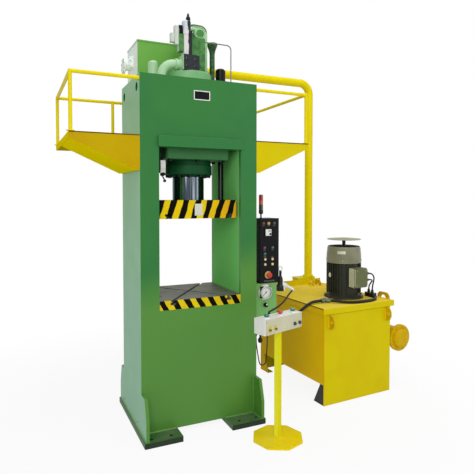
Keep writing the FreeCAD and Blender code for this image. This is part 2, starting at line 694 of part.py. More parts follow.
def push_button(x, z):
    """Push button with its plunger through the door."""
    return lathe_y([(0, DOOR_Y + 12), (11, DOOR_Y + 12), (11, DOOR_Y - 8), (10, DOOR_Y - 9.5),
                    (0, DOOR_Y - 9.5)], x, z)


def stop_button(x, y, z, stem):
    """Mushroom head stop button on a short stem, pushed along +Y."""
    return lathe_y([(0, y + stem), (9, y + stem), (9, y - 20), (22, y - 21), (27, y - 27), (25, y - 33),
                    (15, y - 38), (0, y - 39)], x, z)


def pressure_gauge():
    """Flanged gauge case with its sunk dial."""
    x, z = GAUGE_XZ
    y = COLUMN_Y[0]
    case = lathe_y([(0, y), (69, y), (69, y - 4), (57, y - 6), (57, y - 26), (54, y - 29), (50, y - 29),
                    (50, y - 18), (0, y - 18)], x, z)
    for k in range(3):
        t = math.radians(90 + 120 * k)
        case = case.cut(rod(x + 63 * math.cos(t), y - 7, z + 63 * math.sin(t), 3, 8, V(0, 1, 0)))
    return case.cut(rod(x, y - 19, z, SPINDLE_R + 0.05, 12, V(0, 1, 0)))


def gauge_pointer():
    """Pointer of the gauge."""
    x, z = GAUGE_XZ
    y = COLUMN_Y[0] - 18.3
    needle = sheet_xz([(-2.2, -14), (2.2, -14), (0.8, 42), (-0.8, 42)], y - 2.5, y - 1)
    pointer = union([rod(0, y - 4, 0, 5, 4, V(0, 1, 0)), rod(0, y - 4, 0, SPINDLE_R, 14, V(0, 1, 0)), needle])
    pointer.rotate(V(0, 0, 0), V(0, 1, 0), -135)
    pointer.translate(V(x, 0, z))
    return pointer


def gauge_knob():
    """Hand knob of the gauge cock, with finger flutes."""
    x, z = KNOB_XZ
    y = COLUMN_Y[0]
    knob = lathe_y([(0, y + 20), (7, y + 20), (7, y - 8), (19, y - 9), (20, y - 12), (20, y - 26),
                    (17, y - 29), (0, y - 29)], x, z)
    for k in range(6):
        t = math.radians(60 * k)
        knob = knob.cut(rod(x + 24 * math.cos(t), y - 32, z + 24 * math.sin(t), 7, 25, V(0, 1, 0)))
    return knob


def tower_light():
    """Signal tower: foot stem, base and three lenses."""
    x, y = TOWER_XY
    return Part.makeCompound([
        turned([(0, PANEL_Z1), (16, PANEL_Z1), (16, PANEL_Z1 + 4), (7, PANEL_Z1 + 5), (7, 1738), (20, 1744),
                (20, 1774), (0, 1774)], x, y),
        rod(x, y, 1774, 19.5, 52), rod(x, y, 1826, 19.5, 34),
        turned([(0, 1860), (19.5, 1860), (19.5, 1908), (14, 1915), (0, 1915)], x, y)])


def junction_valve():
    """Cable junction on the column's side: ringed top, slanting nipple and the round cock below."""
    y = -140.0
    x = JUNCTION_X
    head = turned([(0, 1034), (46, 1034), (46, 1072), (27, 1092), (21, 1150), (12, 1168), (12, 1214),
                   (0, 1214)], x, y)
    base = block(COLUMN_X1, x - 18, y - 24, y + 24, 1040, 1070)
    ring = Part.makeTorus(19, 4, V(x, y, 1236), V(0, 1, 0))
    drain = turned([(0, 572), (13, 574), (21, 586), (21, 606), (13, 618), (9, 620), (9, 648), (18, 650),
                    (18, COLUMN_Z[0]), (0, COLUMN_Z[0])], 634, y)
    way = NIPPLE_END - NIPPLE_START
    nipple = union([Part.makeCylinder(14, way.Length, NIPPLE_START, way),
                    Part.makeCylinder(18, 26, NIPPLE_START + way * 0.3, way), Part.makeSphere(14, NIPPLE_END),
                    Part.makeCylinder(12, LEAD_OUT, NIPPLE_END, LEAD_AIM)]).cut(head)
    return Part.makeCompound([union([head, base, ring]), nipple, drain])


def name_plate():
    """Blank riveted plate on the crown."""
    plate = block(-63, 76, -FRAME_D / 2 - 3, -FRAME_D / 2, 2669, 2745)
    return plate.cut(block(-56, 69, -FRAME_D / 2 - 4, -FRAME_D / 2 - 2, 2676, 2738))


# ---- two-hand pedestal -----------------------------------------------------------------
def pedestal_stand():
    """Octagonal foot, square post and head plate."""
    flat = PED_ACROSS / 2
    k = flat * math.tan(math.pi / 8)
    ring = [(-flat, -k), (-k, -flat), (k, -flat), (flat, -k), (flat, k), (k, flat), (-k, flat), (-flat, k)]
    foot = sheet([V(x, y, 0) for x, y in ring], V(0, 0, 12))
    for t in (45, 135, 225, 315):
        foot = foot.cut(rod(145 * math.cos(math.radians(t)), 145 * math.sin(math.radians(t)), -1, 7, 14))
    low = PED_BOX[4]
    post = block(-20, 20, -20, 20, 12, low - 6).cut(block(-17, 17, -17, 17, 15, low - 9))
    head = block(-55, 55, -40, 40, low - 6, low)
    return place(union([foot, post, head]), PED_AT, PED_TURN)


def pedestal_box():
    """Sheet box with its top collars, front switches and rear gland."""
    x0, x1, y0, y1, z0, z1 = PED_BOX
    box = bevel(block(x0, x1, y0, y1, z0, z1), 4, upright)
    box = box.cut(block(x0 + 2, x1 - 2, y0 + 2, y1 - 2, z0 + 2, z1 - 2))
    parts = [box]
    for x in (-PALM_X, PALM_X):
        parts.append(turned([(14.1, z1), (26, z1), (26, z1 + 3), (20, z1 + 10), (14.1, z1 + 10)], x, PALM_Y))
        parts[0] = parts[0].cut(rod(x, PALM_Y, z1 - 5, 14.1, 10))
    parts.append(turned([(9.1, z1), (24, z1), (24, z1 + 2), (17, z1 + 10), (9.1, z1 + 10)], 0, PALM_Y))
    parts[0] = parts[0].cut(rod(0, PALM_Y, z1 - 5, 9.1, 10))
    for x in (-160.0, -97.0):
        parts.append(block(x - 13, x + 13, y0 - 2, y0, 880, 924))
        parts.append(rod(x, y0 - 14, 897, 9, 12, V(0, 1, 0)))
    for x in (121.0, 179.0):
        parts.append(block(x - 13, x + 13, y0 - 2, y0, 915, 928))
        parts.append(lathe_y([(0, y0), (14, y0), (14, y0 - 8), (11, y0 - 12), (0, y0 - 12)], x, 898))
    parts.append(rod(40, y1, 945, 11, 16, V(0, 1, 0)))
    return place(union(parts), PED_AT, PED_TURN)


def palm_button(x, r):
    """Palm button on its plunger, pushed down."""
    z = PED_BOX[5]
    button = turned([(0, z - 12), (14, z - 12), (14, z + 16), (r, z + 18), (r, z + 24), (r - 8, z + 30),
                     (0, z + 31)], x, PALM_Y)
    return place(button, PED_AT, PED_TURN)


def pedestal_stop():
    """Mushroom stop button between the palm buttons."""
    z = PED_BOX[5]
    button = turned([(0, z - 12), (9, z - 12), (9, z + 18), (20, z + 19), (23, z + 25), (21, z + 31),
                     (12, z + 36), (0, z + 37)], 0, PALM_Y)
    return place(button, PED_AT, PED_TURN)


# ---- power pack ----------------------------------------------------------------------------
def tank_body():
    """Oil tank: end plates down to the floor, raised body, feet, eyes and return chamber."""
    wall = 5.0
    body = block(3, TANK_A - 3, TANK_PLATE, TANK_B - TANK_PLATE, TANK_LOW, LID_Z0)
    body = body.cut(block(3 + wall, TANK_A - 3 - wall, TANK_PLATE + wall, TANK_B - TANK_PLATE - wall,
                          TANK_LOW + wall, LID_Z0 + 1))
    parts = [body, block(0, TANK_A, 0, TANK_PLATE, 0, LID_Z0),
             block(0, TANK_A, TANK_B - TANK_PLATE, TANK_B, 0, LIP_Z)]
    for a in (3.0, TANK_A - 11):
        for b0, b1, b2 in ((TANK_PLATE, 150.0, 60.0), (TANK_B - TANK_PLATE, TANK_B - 150, TANK_B - 60)):
            parts.append(sheet_yz([(b0, 8), (b1, 8), (b2, TANK_LOW), (b0, TANK_LOW)], a, a + 8))
            lo, hi = sorted((b0, b1))
            parts.append(block(a - 3 if a < 100 else a - 50, a + 58 if a < 100 else a + 11, lo, hi, 0, 8))
    for a in (EAR_INSET, TANK_A - EAR_INSET - EAR_T):
        ear = sheet_yz([(0, 700), (-28, 700), (-56, 716), (-70, 744), (-70, 786), (-56, 814), (-28, 828),
                        (0, 828)], a, a + EAR_T)
        parts.append(ear.cut(rod(a - 1, -38, 768, 19, EAR_T + 2, V(1, 0, 0))))
    parts.append(block(505, 735, TANK_B, TANK_B + 120, 600, PIPE_FOOT - 8))
    parts.append(block(495, 742, TANK_B, TANK_B + 124, PIPE_FOOT - 8, PIPE_FOOT))
    return place(Part.makeCompound(parts), PACK_AT, PACK_TURN)


def lifting_lug(a, b0, b1):
    """Arched lifting lug on the lid, open at its foot."""
    arch = sheet_yz([(b0, LID_Z1), (b1, LID_Z1), (b1 - 6, LUG_Z1 - 24), (b1 - 30, LUG_Z1), (b0 + 30, LUG_Z1),
                     (b0 + 6, LUG_Z1 - 24)], a, a + EAR_T)
    return arch.cut(rod(a - 1, (b0 + b1) / 2, LID_Z1, 0.225 * (b1 - b0), EAR_T + 2, V(1, 0, 0)))


def tank_lid():
    """Overhanging lid with its turned-down rim, lifting lugs, filler and the pump opening."""
    a, b = MOTOR_AB
    right = TANK_A + LID_RIGHT
    back = TANK_B - TANK_PLATE - 1
    rim = block(-13, right, -12, back, RIM_Z0, LID_Z0)
    rim = rim.cut(block(-3, right - 10, -2, back + 1, RIM_Z0 - 1, LID_Z0 + 1))
    lid = union([block(-13, right, -12, back, LID_Z0, LID_Z1), rim])
    lid = bevel(lid, 2, lambda e: upright(e) and e.BoundBox.YMin < -11).cut(rod(a, b, LID_Z0 - 1, 105, 40))
    parts = [lid, lifting_lug(823, 30, 190), lifting_lug(697, 943, 1056)]
    parts.append(turned([(0, LID_Z1), (34, LID_Z1), (34, 893), (24, 895), (24, 914), (30, 918), (30, 934),
                         (22, 940), (0, 940)], 610, 1000))
    return place(Part.makeCompound(parts), PACK_AT, PACK_TURN)


def oil_cooler():
    """Tube cooler along the tank's side: shell, bolted end bonnets, nozzles and saddles."""
    a, z = COOLER_AZ
    shell = lathe_y([(0, -42), (70, -42), (84, -34), (93, -18), (93, 0), (131, 0), (131, 24), (95, 24),
                     (95, 836), (131, 836), (131, 860), (93, 860), (93, 880), (84, 894), (70, 902), (0, 902)],
                    a, z)
    parts = [shell]
    for b in (150.0, 710.0):
        parts.append(rod(TANK_A - 3, b, z + 20, 24, a - TANK_A, V(1, 0, 0)))
        parts.append(block(TANK_A - 3, a, b + 60, b + 72, z - 95, z - 20))
    heads = []
    for k in range(8):
        t = math.radians(45 * k + 22.5)
        heads.append(rod(a + 112 * math.cos(t), -9, z + 112 * math.sin(t), 9, 9, V(0, 1, 0)))
    solid = union(parts + heads).cut(block(0, TANK_A - 3, 0, TANK_B, TANK_LOW, LID_Z0))
    return place(solid, PACK_AT, PACK_TURN)


def motor_body():
    """Upright motor: foot flange, finned stator housing and end shields around the rotor space."""
    a, b = MOTOR_AB
    low_bore = SHAFT_LOW_R + RUN_FIT
    top_bore = SHAFT_TOP_R + RUN_FIT
    foot = turned([(low_bore, LID_Z1), (MOTOR_FLANGE_R, LID_Z1), (MOTOR_FLANGE_R, LID_Z1 + 18),
                   (168, STATOR_Z0 + 2), (MOTOR_CORE_R, STATOR_Z0 + 14), (MOTOR_CORE_R, STATOR_Z0 + 30),
                   (low_bore, STATOR_Z0 + 30)], a, b)
    top = turned([(top_bore, STATOR_Z1 - 30), (ROTOR_SPACE_R, STATOR_Z1 - 30), (ROTOR_SPACE_R, STATOR_Z1 - 8),
                  (MOTOR_CORE_R, STATOR_Z1 - 8), (MOTOR_CORE_R, STATOR_Z1), (top_bore, STATOR_Z1)], a, b)
    housing = tube(a, b, STATOR_Z0 + 30, MOTOR_CORE_R, ROTOR_SPACE_R, STATOR_Z1 - STATOR_Z0 - 38)
    fins = []
    for k in range(FIN_COUNT):
        angle = 360.0 * k / FIN_COUNT
        if abs((angle - 270.0 + 180) % 360 - 180) < 28:
            continue
        fin = block(MOTOR_CORE_R - 4, FIN_R, -2.5, 2.5, STATOR_Z0 + 30, STATOR_Z1 - 8)
        fins.append(place(fin, V(a, b, 0), angle))
    bolts = []
    for k in range(8):
        t = math.radians(45 * k + 22.5)
        bolts.append(hexagon(a + 180 * math.cos(t), b + 180 * math.sin(t), LID_Z1 + 8, 22, 22))
    return place(Part.makeCompound([union([foot] + bolts), union([housing] + fins), top]), PACK_AT, PACK_TURN)


def fan_cowl():
    """Tapering cowl over the fan with its sunk grille, and the rain canopy on a stem."""
    a, b = MOTOR_AB
    shell = turned([(174, STATOR_Z1), (172, 1300), (164, 1384), (159, COWL_Z1), (154, COWL_Z1),
                    (154, GRILLE_Z), (0, GRILLE_Z), (0, GRILLE_Z - 3), (157, GRILLE_Z - 3), (161, 1380),
                    (169, 1299), (171, STATOR_Z1)], a, b)
    for k in range(4):
        for ring in (60.0, 90.0, 120.0):
            slot = tube(a, b, GRILLE_Z - 5, ring + 8, ring - 2, 8)
            shell = shell.cut(slot.common(place(block(0, 160, 12, 160, 1300, 1500), V(a, b, 0), 90 * k)))
    canopy = turned([(0, CANOPY_Z), (20, CANOPY_Z), (168, CANOPY_Z + 8), (168, CANOPY_Z + 12),
                     (60, CANOPY_Z + 22), (0, CANOPY_Z + 25)], a, b)
    stem = rod(a, b, GRILLE_Z, 17, CANOPY_Z - GRILLE_Z)
    ear = block(150, 171.5, -9, 9, STATOR_Z1, STATOR_Z1 + 14)
    ears = [place(ear, V(a, b, 0), 90 * k + 45) for k in range(4)]
    return place(Part.makeCompound([union([shell] + ears), stem, canopy]), PACK_AT, PACK_TURN)


def motor_rotor():
    """Rotor, its shaft down to the pump and the cooling fan."""
    a, b = MOTOR_AB
    shaft = turned([(0, 742), (SHAFT_LOW_R, 742), (SHAFT_LOW_R, STATOR_Z0 + 40), (85, STATOR_Z0 + 40),
                    (85, STATOR_Z1 - 40), (SHAFT_TOP_R, STATOR_Z1 - 40), (SHAFT_TOP_R, 1270), (50, 1270),
                    (50, 1330), (0, 1330)], a, b)
    blades = []
    for k in range(7):
        blade = block(48, 150, -2.5, 2.5, 1272, 1328)
        blades.append(place(blade, V(a, b, 0), 360.0 * k / 7))
    disc = tube(a, b, 1266, 150, 40, 6)
    return place(union([shaft, disc] + blades), PACK_AT, PACK_TURN)


def terminal_box():
    """Round-cornered terminal box on the front of the motor with two cable glands."""
    a, b = MOTOR_AB
    box = rounded(block(a - BOX_HALF, a + BOX_HALF, 128, 200, 1010, 1200), 12, inward)
    lid = rounded(block(a - BOX_HALF + 5, a + BOX_HALF - 5, 112, 128, 1015, 1195), 22, inward)
    neck = block(a - 55, a + 55, 200, b - 138, 1045, 1165).cut(rod(a, b, 1000, MOTOR_CORE_R, 200))
    glands = [rod(a + BOX_HALF, 160, z, 13, 33, V(1, 0, 0)) for z in (1138.0, 1075.0)]
    return place(union([box, lid, neck] + glands), PACK_AT, PACK_TURN)


def pump():
    """Gear pump hung in the tank on its bell, with suction pipe and strainer."""
    a, b = MOTOR_AB
    bell = turned([(105, LID_Z0 - 20), (105, LID_Z1), (92, LID_Z1), (92, 730), (26, 730), (26, 700),
                   (98, 700), (98, LID_Z0 - 20)], a, b)
    body = turned([(0, 560), (58, 560), (70, 575), (70, 700), (26, 700), (26, 738), (0, 738)], a, b)
    suction = rod(a, b, 330, 22, 232)
    strainer = turned([(0, 225), (50, 225), (50, 335), (30, 345), (0, 345)], a, b)
    return place(union([bell, body, suction, strainer]), PACK_AT, PACK_TURN)


def lid_fittings():
    """Bright conduit union at the motor's left and the black gland block at its right."""
    a, b = ELBOW_AT
    z = LID_Z1 + 24
    union_body = union([rod(a, b, LID_Z1, 26, 14), rod(a - 26, b, z, 19, 26, V(1, 0, 0)),
                        rod(a, b, LID_Z1, 19, 43), rod(a - 12, b, z, 22, 12, V(1, 0, 0)),
                        rod(a, b, z, 19, 30, V(ELBOW_WAY[0], ELBOW_WAY[1], 0))])
    back = V(-BOSS_WAY[0], -BOSS_WAY[1], 0)
    boss = rod(BOSS_AT[0] + BOSS_WAY[0] * 32, BOSS_AT[1] + BOSS_WAY[1] * 32, LID_Z1 + 15, 14.5, 32, back)
    gland = union([bevel(block(742, 800, 170, 290, LID_Z1, LID_Z1 + 42), 6, upright), boss,
                   rod(770, 205, LID_Z1 + 42, 13, 14), rod(770, 255, LID_Z1 + 42, 13, 14)])
    return place(Part.makeCompound([union_body, gland]), PACK_AT, PACK_TURN)


# ---- cables and hoses -------------------------------------------------------------------------
def pack_points(points):
    """World points of a route given in the power pack's own axes."""
    return [spot(a, b, z, PACK_AT, PACK_TURN) for a, b, z in points]


def pedestal_cable():
    """Control cable from the pedestal up to the column's junction."""
    start = spot(40, PED_BOX[3] + 16, 945, PED_AT, PED_TURN)
    out = spot(40, PED_BOX[3] + 126, 945, PED_AT, PED_TURN)
    last = V(LEAD_AIM)
    last.normalize()
    last = NIPPLE_END + last * LEAD_OUT
    return cord([start, out, V(600, -500, 968), V(703, -432, 992), V(790, -340, 1008),
                 NIPPLE_END + LEAD_AIM, last], 8)


def power_conduit():
    """Conduit from the column across to the union on the tank lid."""
    last = pack_points([(66, 214, LID_Z1 + 24), (150, 214, LID_Z1 + 24)])
    return cord([V(COLUMN_X1, -100, 756), V(880, -100, 756), V(955, -136, 770), V(1012, -180, 815),
                 V(1064, -206, 868), V(1126, -210, 906)] + last, 14)


def motor_conduit():
    """Conduit lying on the lid round the motor's foot to the gland block."""
    z = LID_Z1 + 15
    last = (BOSS_AT[0] - BOSS_WAY[0] * 82, BOSS_AT[1] - BOSS_WAY[1] * 82, z)
    first = [(ELBOW_AT[0] + ELBOW_WAY[0] * d, ELBOW_AT[1] + ELBOW_WAY[1] * d, LID_Z1 + 24) for d in (30, 90)]
    return cord(pack_points(first + [(310, 92, z + 2), (400, 42, z), (520, 30, z), (640, 46, z), last,
                                     (BOSS_AT[0], BOSS_AT[1], z)]), 14)


def motor_leads():
    """Two leads from the terminal box down to the gland block."""
    low = LID_Z1 + 56
    first = pack_points([(656, 160, 1138), (714, 160, 1138), (760, 168, 1092), (770, 190, 1035),
                         (770, 205, 985), (770, 205, low)])
    second = pack_points([(656, 160, 1075), (710, 160, 1075), (752, 186, 1052), (768, 232, 1018),
                          (770, 255, 985), (770, 255, low)])
    return Part.makeCompound([cord(first, 7), cord(second, 7)])


def loop_hose():
    """Hose hanging in a loop under the column."""
    top = COLUMN_Z[0]
    low = 368.0
    return cord([V(592, -140, top), V(592, -140, 588), V(602, -142, 512), V(614, -144, 438),
                 V(627, -146, low), V(685, -148, low), V(694, -146, 438), V(702, -144, 512),
                 V(706, -140, 588), V(706, -140, top)], 5)


NODES["face_plates"] = face_plates()
NODES["side_plates"] = side_plates()
NODES["jamb_plates"] = jamb_plates()
NODES["crown_box"] = crown_box()
NODES["bed_box"] = bed_box()
NODES["foot_plates"] = foot_plates()
NODES["bolster"] = bolster()
NODES["cylinder_mount_plate"] = mount_plate()
NODES["cylinder_barrel"] = tube(0, 0, MOUNT_Z0, BARREL_R, BORE_R, FRAME_Z1 - MOUNT_Z0)
NODES["cylinder_top_cover"] = top_cover()
NODES["gland_flange"] = gland_flange()
NODES["cylinder_bolts"] = cylinder_bolts()
NODES["ram"] = ram()
NODES["platen"] = platen()
NODES["guide_rods"] = guide_rods()
NODES["guide_bushes"] = guide_bushes()
NODES["limit_switch"] = limit_switch()
NODES["limit_switch_arm"] = limit_switch_arm()
NODES["prefill_tank"] = prefill_tank()
NODES["elbow_pipe"] = elbow_pipe()
NODES["valve_block"] = valve_block()
NODES["solenoid_valve"] = solenoid_valve()
NODES["crown_pipes"] = crown_pipes()
NODES["overflow_pipe"] = overflow_pipe()
NODES["platform_decks"] = platform_decks()
NODES["railing"] = railing()
NODES["panel_column"] = panel_column()
NODES["panel_box"] = panel_box()
NODES["panel_door"] = panel_door()
NODES["panel_lamps"] = panel_lamps()
for number, (bx, bz) in enumerate(BUTTONS, 1):
    NODES["panel_button_%d" % number] = push_button(bx, bz)
NODES["panel_stop"] = stop_button(STOP_XZ[0], DOOR_Y, STOP_XZ[1], 12)
NODES["pressure_gauge"] = pressure_gauge()
NODES["gauge_pointer"] = gauge_pointer()
NODES["gauge_knob"] = gauge_knob()
NODES["tower_light"] = tower_light()
NODES["junction_valve"] = junction_valve()
NODES["name_plate"] = name_plate()
NODES["pedestal_stand"] = pedestal_stand()
NODES["pedestal_box"] = pedestal_box()
NODES["palm_button_left"] = palm_button(-PALM_X, 22)
NODES["palm_button_right"] = palm_button(PALM_X, 22)
NODES["pedestal_stop"] = pedestal_stop()
NODES["tank_body"] = tank_body()
NODES["tank_lid"] = tank_lid()
NODES["oil_cooler"] = oil_cooler()
NODES["motor_body"] = motor_body()
NODES["fan_cowl"] = fan_cowl()
NODES["motor_rotor"] = motor_rotor()
NODES["terminal_box"] = terminal_box()
NODES["pump"] = pump()
NODES["lid_fittings"] = lid_fittings()
NODES["pedestal_cable"] = pedestal_cable()
NODES["power_conduit"] = power_conduit()
NODES["motor_conduit"] = motor_conduit()
NODES["motor_leads"] = motor_leads()
NODES["loop_hose"] = loop_hose()

os.makedirs("parts", exist_ok=True)
for name, shape in NODES.items():
    if not shape.isValid():
        print("not valid:", name)
    shape.exportStep("parts/%s.step" % name)
print("nodes", len(NODES))
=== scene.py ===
"""Looks of the hydraulic press: materials, detail pieces, cables, light and camera."""
import logging
import math
from dataclasses import dataclass, field, replace
from enum import Enum
from itertools import product

import bmesh
import bpy
import numpy as np
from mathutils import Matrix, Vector


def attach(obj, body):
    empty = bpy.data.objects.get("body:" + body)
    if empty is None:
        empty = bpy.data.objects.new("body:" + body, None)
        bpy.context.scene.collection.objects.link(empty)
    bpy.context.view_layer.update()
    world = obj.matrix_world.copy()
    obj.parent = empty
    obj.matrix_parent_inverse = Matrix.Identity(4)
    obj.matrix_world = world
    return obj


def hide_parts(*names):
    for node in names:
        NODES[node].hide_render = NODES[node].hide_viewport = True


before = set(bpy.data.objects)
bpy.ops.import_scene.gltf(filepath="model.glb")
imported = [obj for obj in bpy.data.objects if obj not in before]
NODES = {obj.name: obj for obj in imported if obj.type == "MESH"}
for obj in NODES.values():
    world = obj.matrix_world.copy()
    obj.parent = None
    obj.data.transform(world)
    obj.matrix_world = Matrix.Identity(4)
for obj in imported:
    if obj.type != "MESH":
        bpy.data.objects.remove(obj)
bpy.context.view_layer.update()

LOG = logging.getLogger("press")
logging.basicConfig(level=logging.INFO, format="%(message)s")

Point = tuple[float, float, float]
Colour = tuple[float, float, float]
Profile = list[tuple[float, float]]
Socket = bpy.types.NodeSocket
Value = Socket | float | Colour

TO_LEFT, TO_RIGHT = (-1, 0, 0), (1, 0, 0)
TO_FRONT, TO_BACK = (0, -1, 0), (0, 1, 0)
DOWN, UP = (0, 0, -1), (0, 0, 1)

# Where a zone ends that has no end of its own, and the least cosine at which a face looks its way.
FAR = 9.0
SAME_WAY = 0.7

# Places shared with the solids, in metres. What is named GLAND, BLOCK, LEAD or MOTOR is in the power
# pack's own axes, and BOX_OUTLET is in the pedestal's.
PACK_AT = (1.144, -0.409)
PACK_TURN = math.radians(3.51)
PED_AT = (0.480, -0.734)
PED_TURN = math.radians(17.2)
FRONT = -0.325
CROWN_TOP = 2.842
GAUGE = (0.667, 1.038)
DOOR_FACE = -0.175
HOSE_Y, HOSE_Z = -0.140, 0.660
HOSE_ENDS = (0.592, 0.706)
COLUMN_OUTLET = (0.786, -0.100, 0.756)
BOX_OUTLET = (0.040, 0.070, 0.945)
NIPPLE_END = (0.959, -0.170, 1.036)
NIPPLE_WAY = (-0.084, -0.080, -0.013)
LID_TOP = 0.885
GLAND_Z = LID_TOP + 0.024
GLAND_IN, GLAND_OUT = (0.150, 0.214), (0.176, 0.214)
GLAND_WAY = (0.766, -0.643)
BLOCK_Z = LID_TOP + 0.015
BLOCK_IN = (0.755, 0.162)
BLOCK_WAY = (-0.527, -0.85)
LEAD_TOP = LID_TOP + 0.056
LEAD_OUT = (0.656, 0.160)
LEAD_HEIGHTS = (1.138, 1.075)
LEAD_A = 0.770
LEAD_ROWS = (0.205, 0.255)
MOTOR_AB = (0.541, 0.374)


class Body(str, Enum):
    """Names of the rigid bodies that pieces ride on."""

    FRAME = "press_frame"
    SLIDE = "press_slide"
    DOOR = "door"
    KNOB = "knob"


class Kind(Enum):
    """How a surface is made."""

    PAINT = "paint"
    MACHINED = "machined"
    LENS = "lens"
    STRIPES = "stripes"
    # Painted highlight on the left, painted shade on the right.
    SPLIT = "split"
    DIAL = "dial"
    TREAD = "tread"


def srgb(r: int, g: int, b: int) -> Colour:
    """Turns a screen colour into linear light.

    Args:
        r, g, b: channels from 0 to 255.
    Returns:
        The three linear channels.
    """
    raw = np.array([r, g, b], float) / 255.0
    low = raw / 12.92
    high = ((raw + 0.055) / 1.055) ** 2.4
    return tuple(float(v) for v in np.where(raw <= 0.04045, low, high))


@dataclass(frozen=True)
class Place:
    """A spot on the floor and a turn about the vertical: a sub-assembly's own axes.

    Attributes:
        at: where the axes start, metres.
        turn: how far they are turned, radians.
    """

    at: tuple[float, float] = (0.0, 0.0)
    turn: float = 0.0

    def point(self, a: float, b: float, z: float) -> Point:
        """Frame point of a point in these axes."""
        c, s = math.cos(self.turn), math.sin(self.turn)
        return (self.at[0] + a * c - b * s, self.at[1] + a * s + b * c, z)

    def way(self, a: float, b: float, z: float = 0.0) -> Point:
        """Frame direction of a direction in these axes."""
        c, s = math.cos(self.turn), math.sin(self.turn)
        return (a * c - b * s, a * s + b * c, z)

    def ray(self, start: tuple[float, float], way: tuple[float, float], reach: float, z: float) -> Point:
        """Frame point at a reach from a start along a direction, both given in these axes."""
        return self.point(start[0] + way[0] * reach, start[1] + way[1] * reach, z)

    def local(self, points: np.ndarray, shift: bool = True) -> np.ndarray:
        """Turns rows of the frame into these axes.

        Args:
            points: rows of three coordinates.
            shift: false for directions, which are only turned.
        Returns:
            The rows in these axes.
        """
        moved = points.copy()
        if shift:
            moved[:, :2] -= self.at
        x, y, z = moved.T
        c, s = math.cos(self.turn), math.sin(self.turn)
        return np.stack([x * c + y * s, y * c - x * s, z], axis=1)


WORLD = Place()
PACK = Place(PACK_AT, PACK_TURN)
PEDESTAL = Place(PED_AT, PED_TURN)


# ---------------------------------------------------------------- materials


@dataclass(frozen=True)
class Finish:
    """A painted, metal or moulded surface.

    Attributes:
        name: material name.
        base: main colour, linear.
        shade: colour that cloudy patches lean to.
        kind: how the surface is made.
        rough: mean roughness.
        metal: metallic value.
        patch: size of the cloudy patches, metres.
        patch_mix: how far the patches go towards the shade, 0 to 1.
        grain: size of the fine texture, metres.
        bump: height of the fine texture, metres.
        coat: weight of a clear coat.
        chips: how much of the surface small paint chips take, 0 to 1.
        chip_colour: colour under the paint.
        dust: how much settled dust lightens upward faces, 0 to 1.
        specular: reflectance level of the shader.
        low: colour of painted light bounced up from the floor, that the paint leans to near the floor, if
            any.
        glow: strength of its own light.
        lines: stretch of the tool lines of a machined surface.
        streaks: weight of painted highlight streaks along the tool lines.
    """

    name: str
    base: Colour
    shade: Colour
    kind: Kind = Kind.PAINT
    rough: float = 0.4
    metal: float = 0.0
    patch: float = 0.35
    patch_mix: float = 0.35
    grain: float = 0.004
    bump: float = 0.0002
    coat: float = 0.0
    chips: float = 0.0
    chip_colour: Colour = (0.12, 0.11, 0.10)
    dust: float = 0.0
    specular: float = 0.3
    low: Colour | None = None
    glow: float = 0.0
    lines: Point = (1.0, 1.0, 1.0)
    streaks: float = 0.0


@dataclass(frozen=True)
class StripeFinish(Finish):
    """Slanting yellow and black warning stripes; the base is the yellow.

    Attributes:
        pitch: length along X of one yellow and one black stripe, metres.
        lean: how far a stripe moves along X for each metre up.
        through: X and Z of a point on the middle of a yellow stripe.
        ink: the dark colour.
        right: colour that the yellow leans to at the right end.
    """

    pitch: float = 0.1
    lean: float = 0.5
    through: tuple[float, float] = (0.0, 0.0)
    ink: Colour = (0.004, 0.004, 0.004)
    right: Colour = (0.7, 0.4, 0.01)


@dataclass(frozen=True)
class LitShadedFinish(Finish):
    """A surface with a painted highlight on its left and painted shade on its right.

    Attributes:
        edge: X of the change, metres.
        right: colour of the painted shade on the right.
    """

    edge: float = 0.0
    right: Colour = (0.01, 0.01, 0.01)


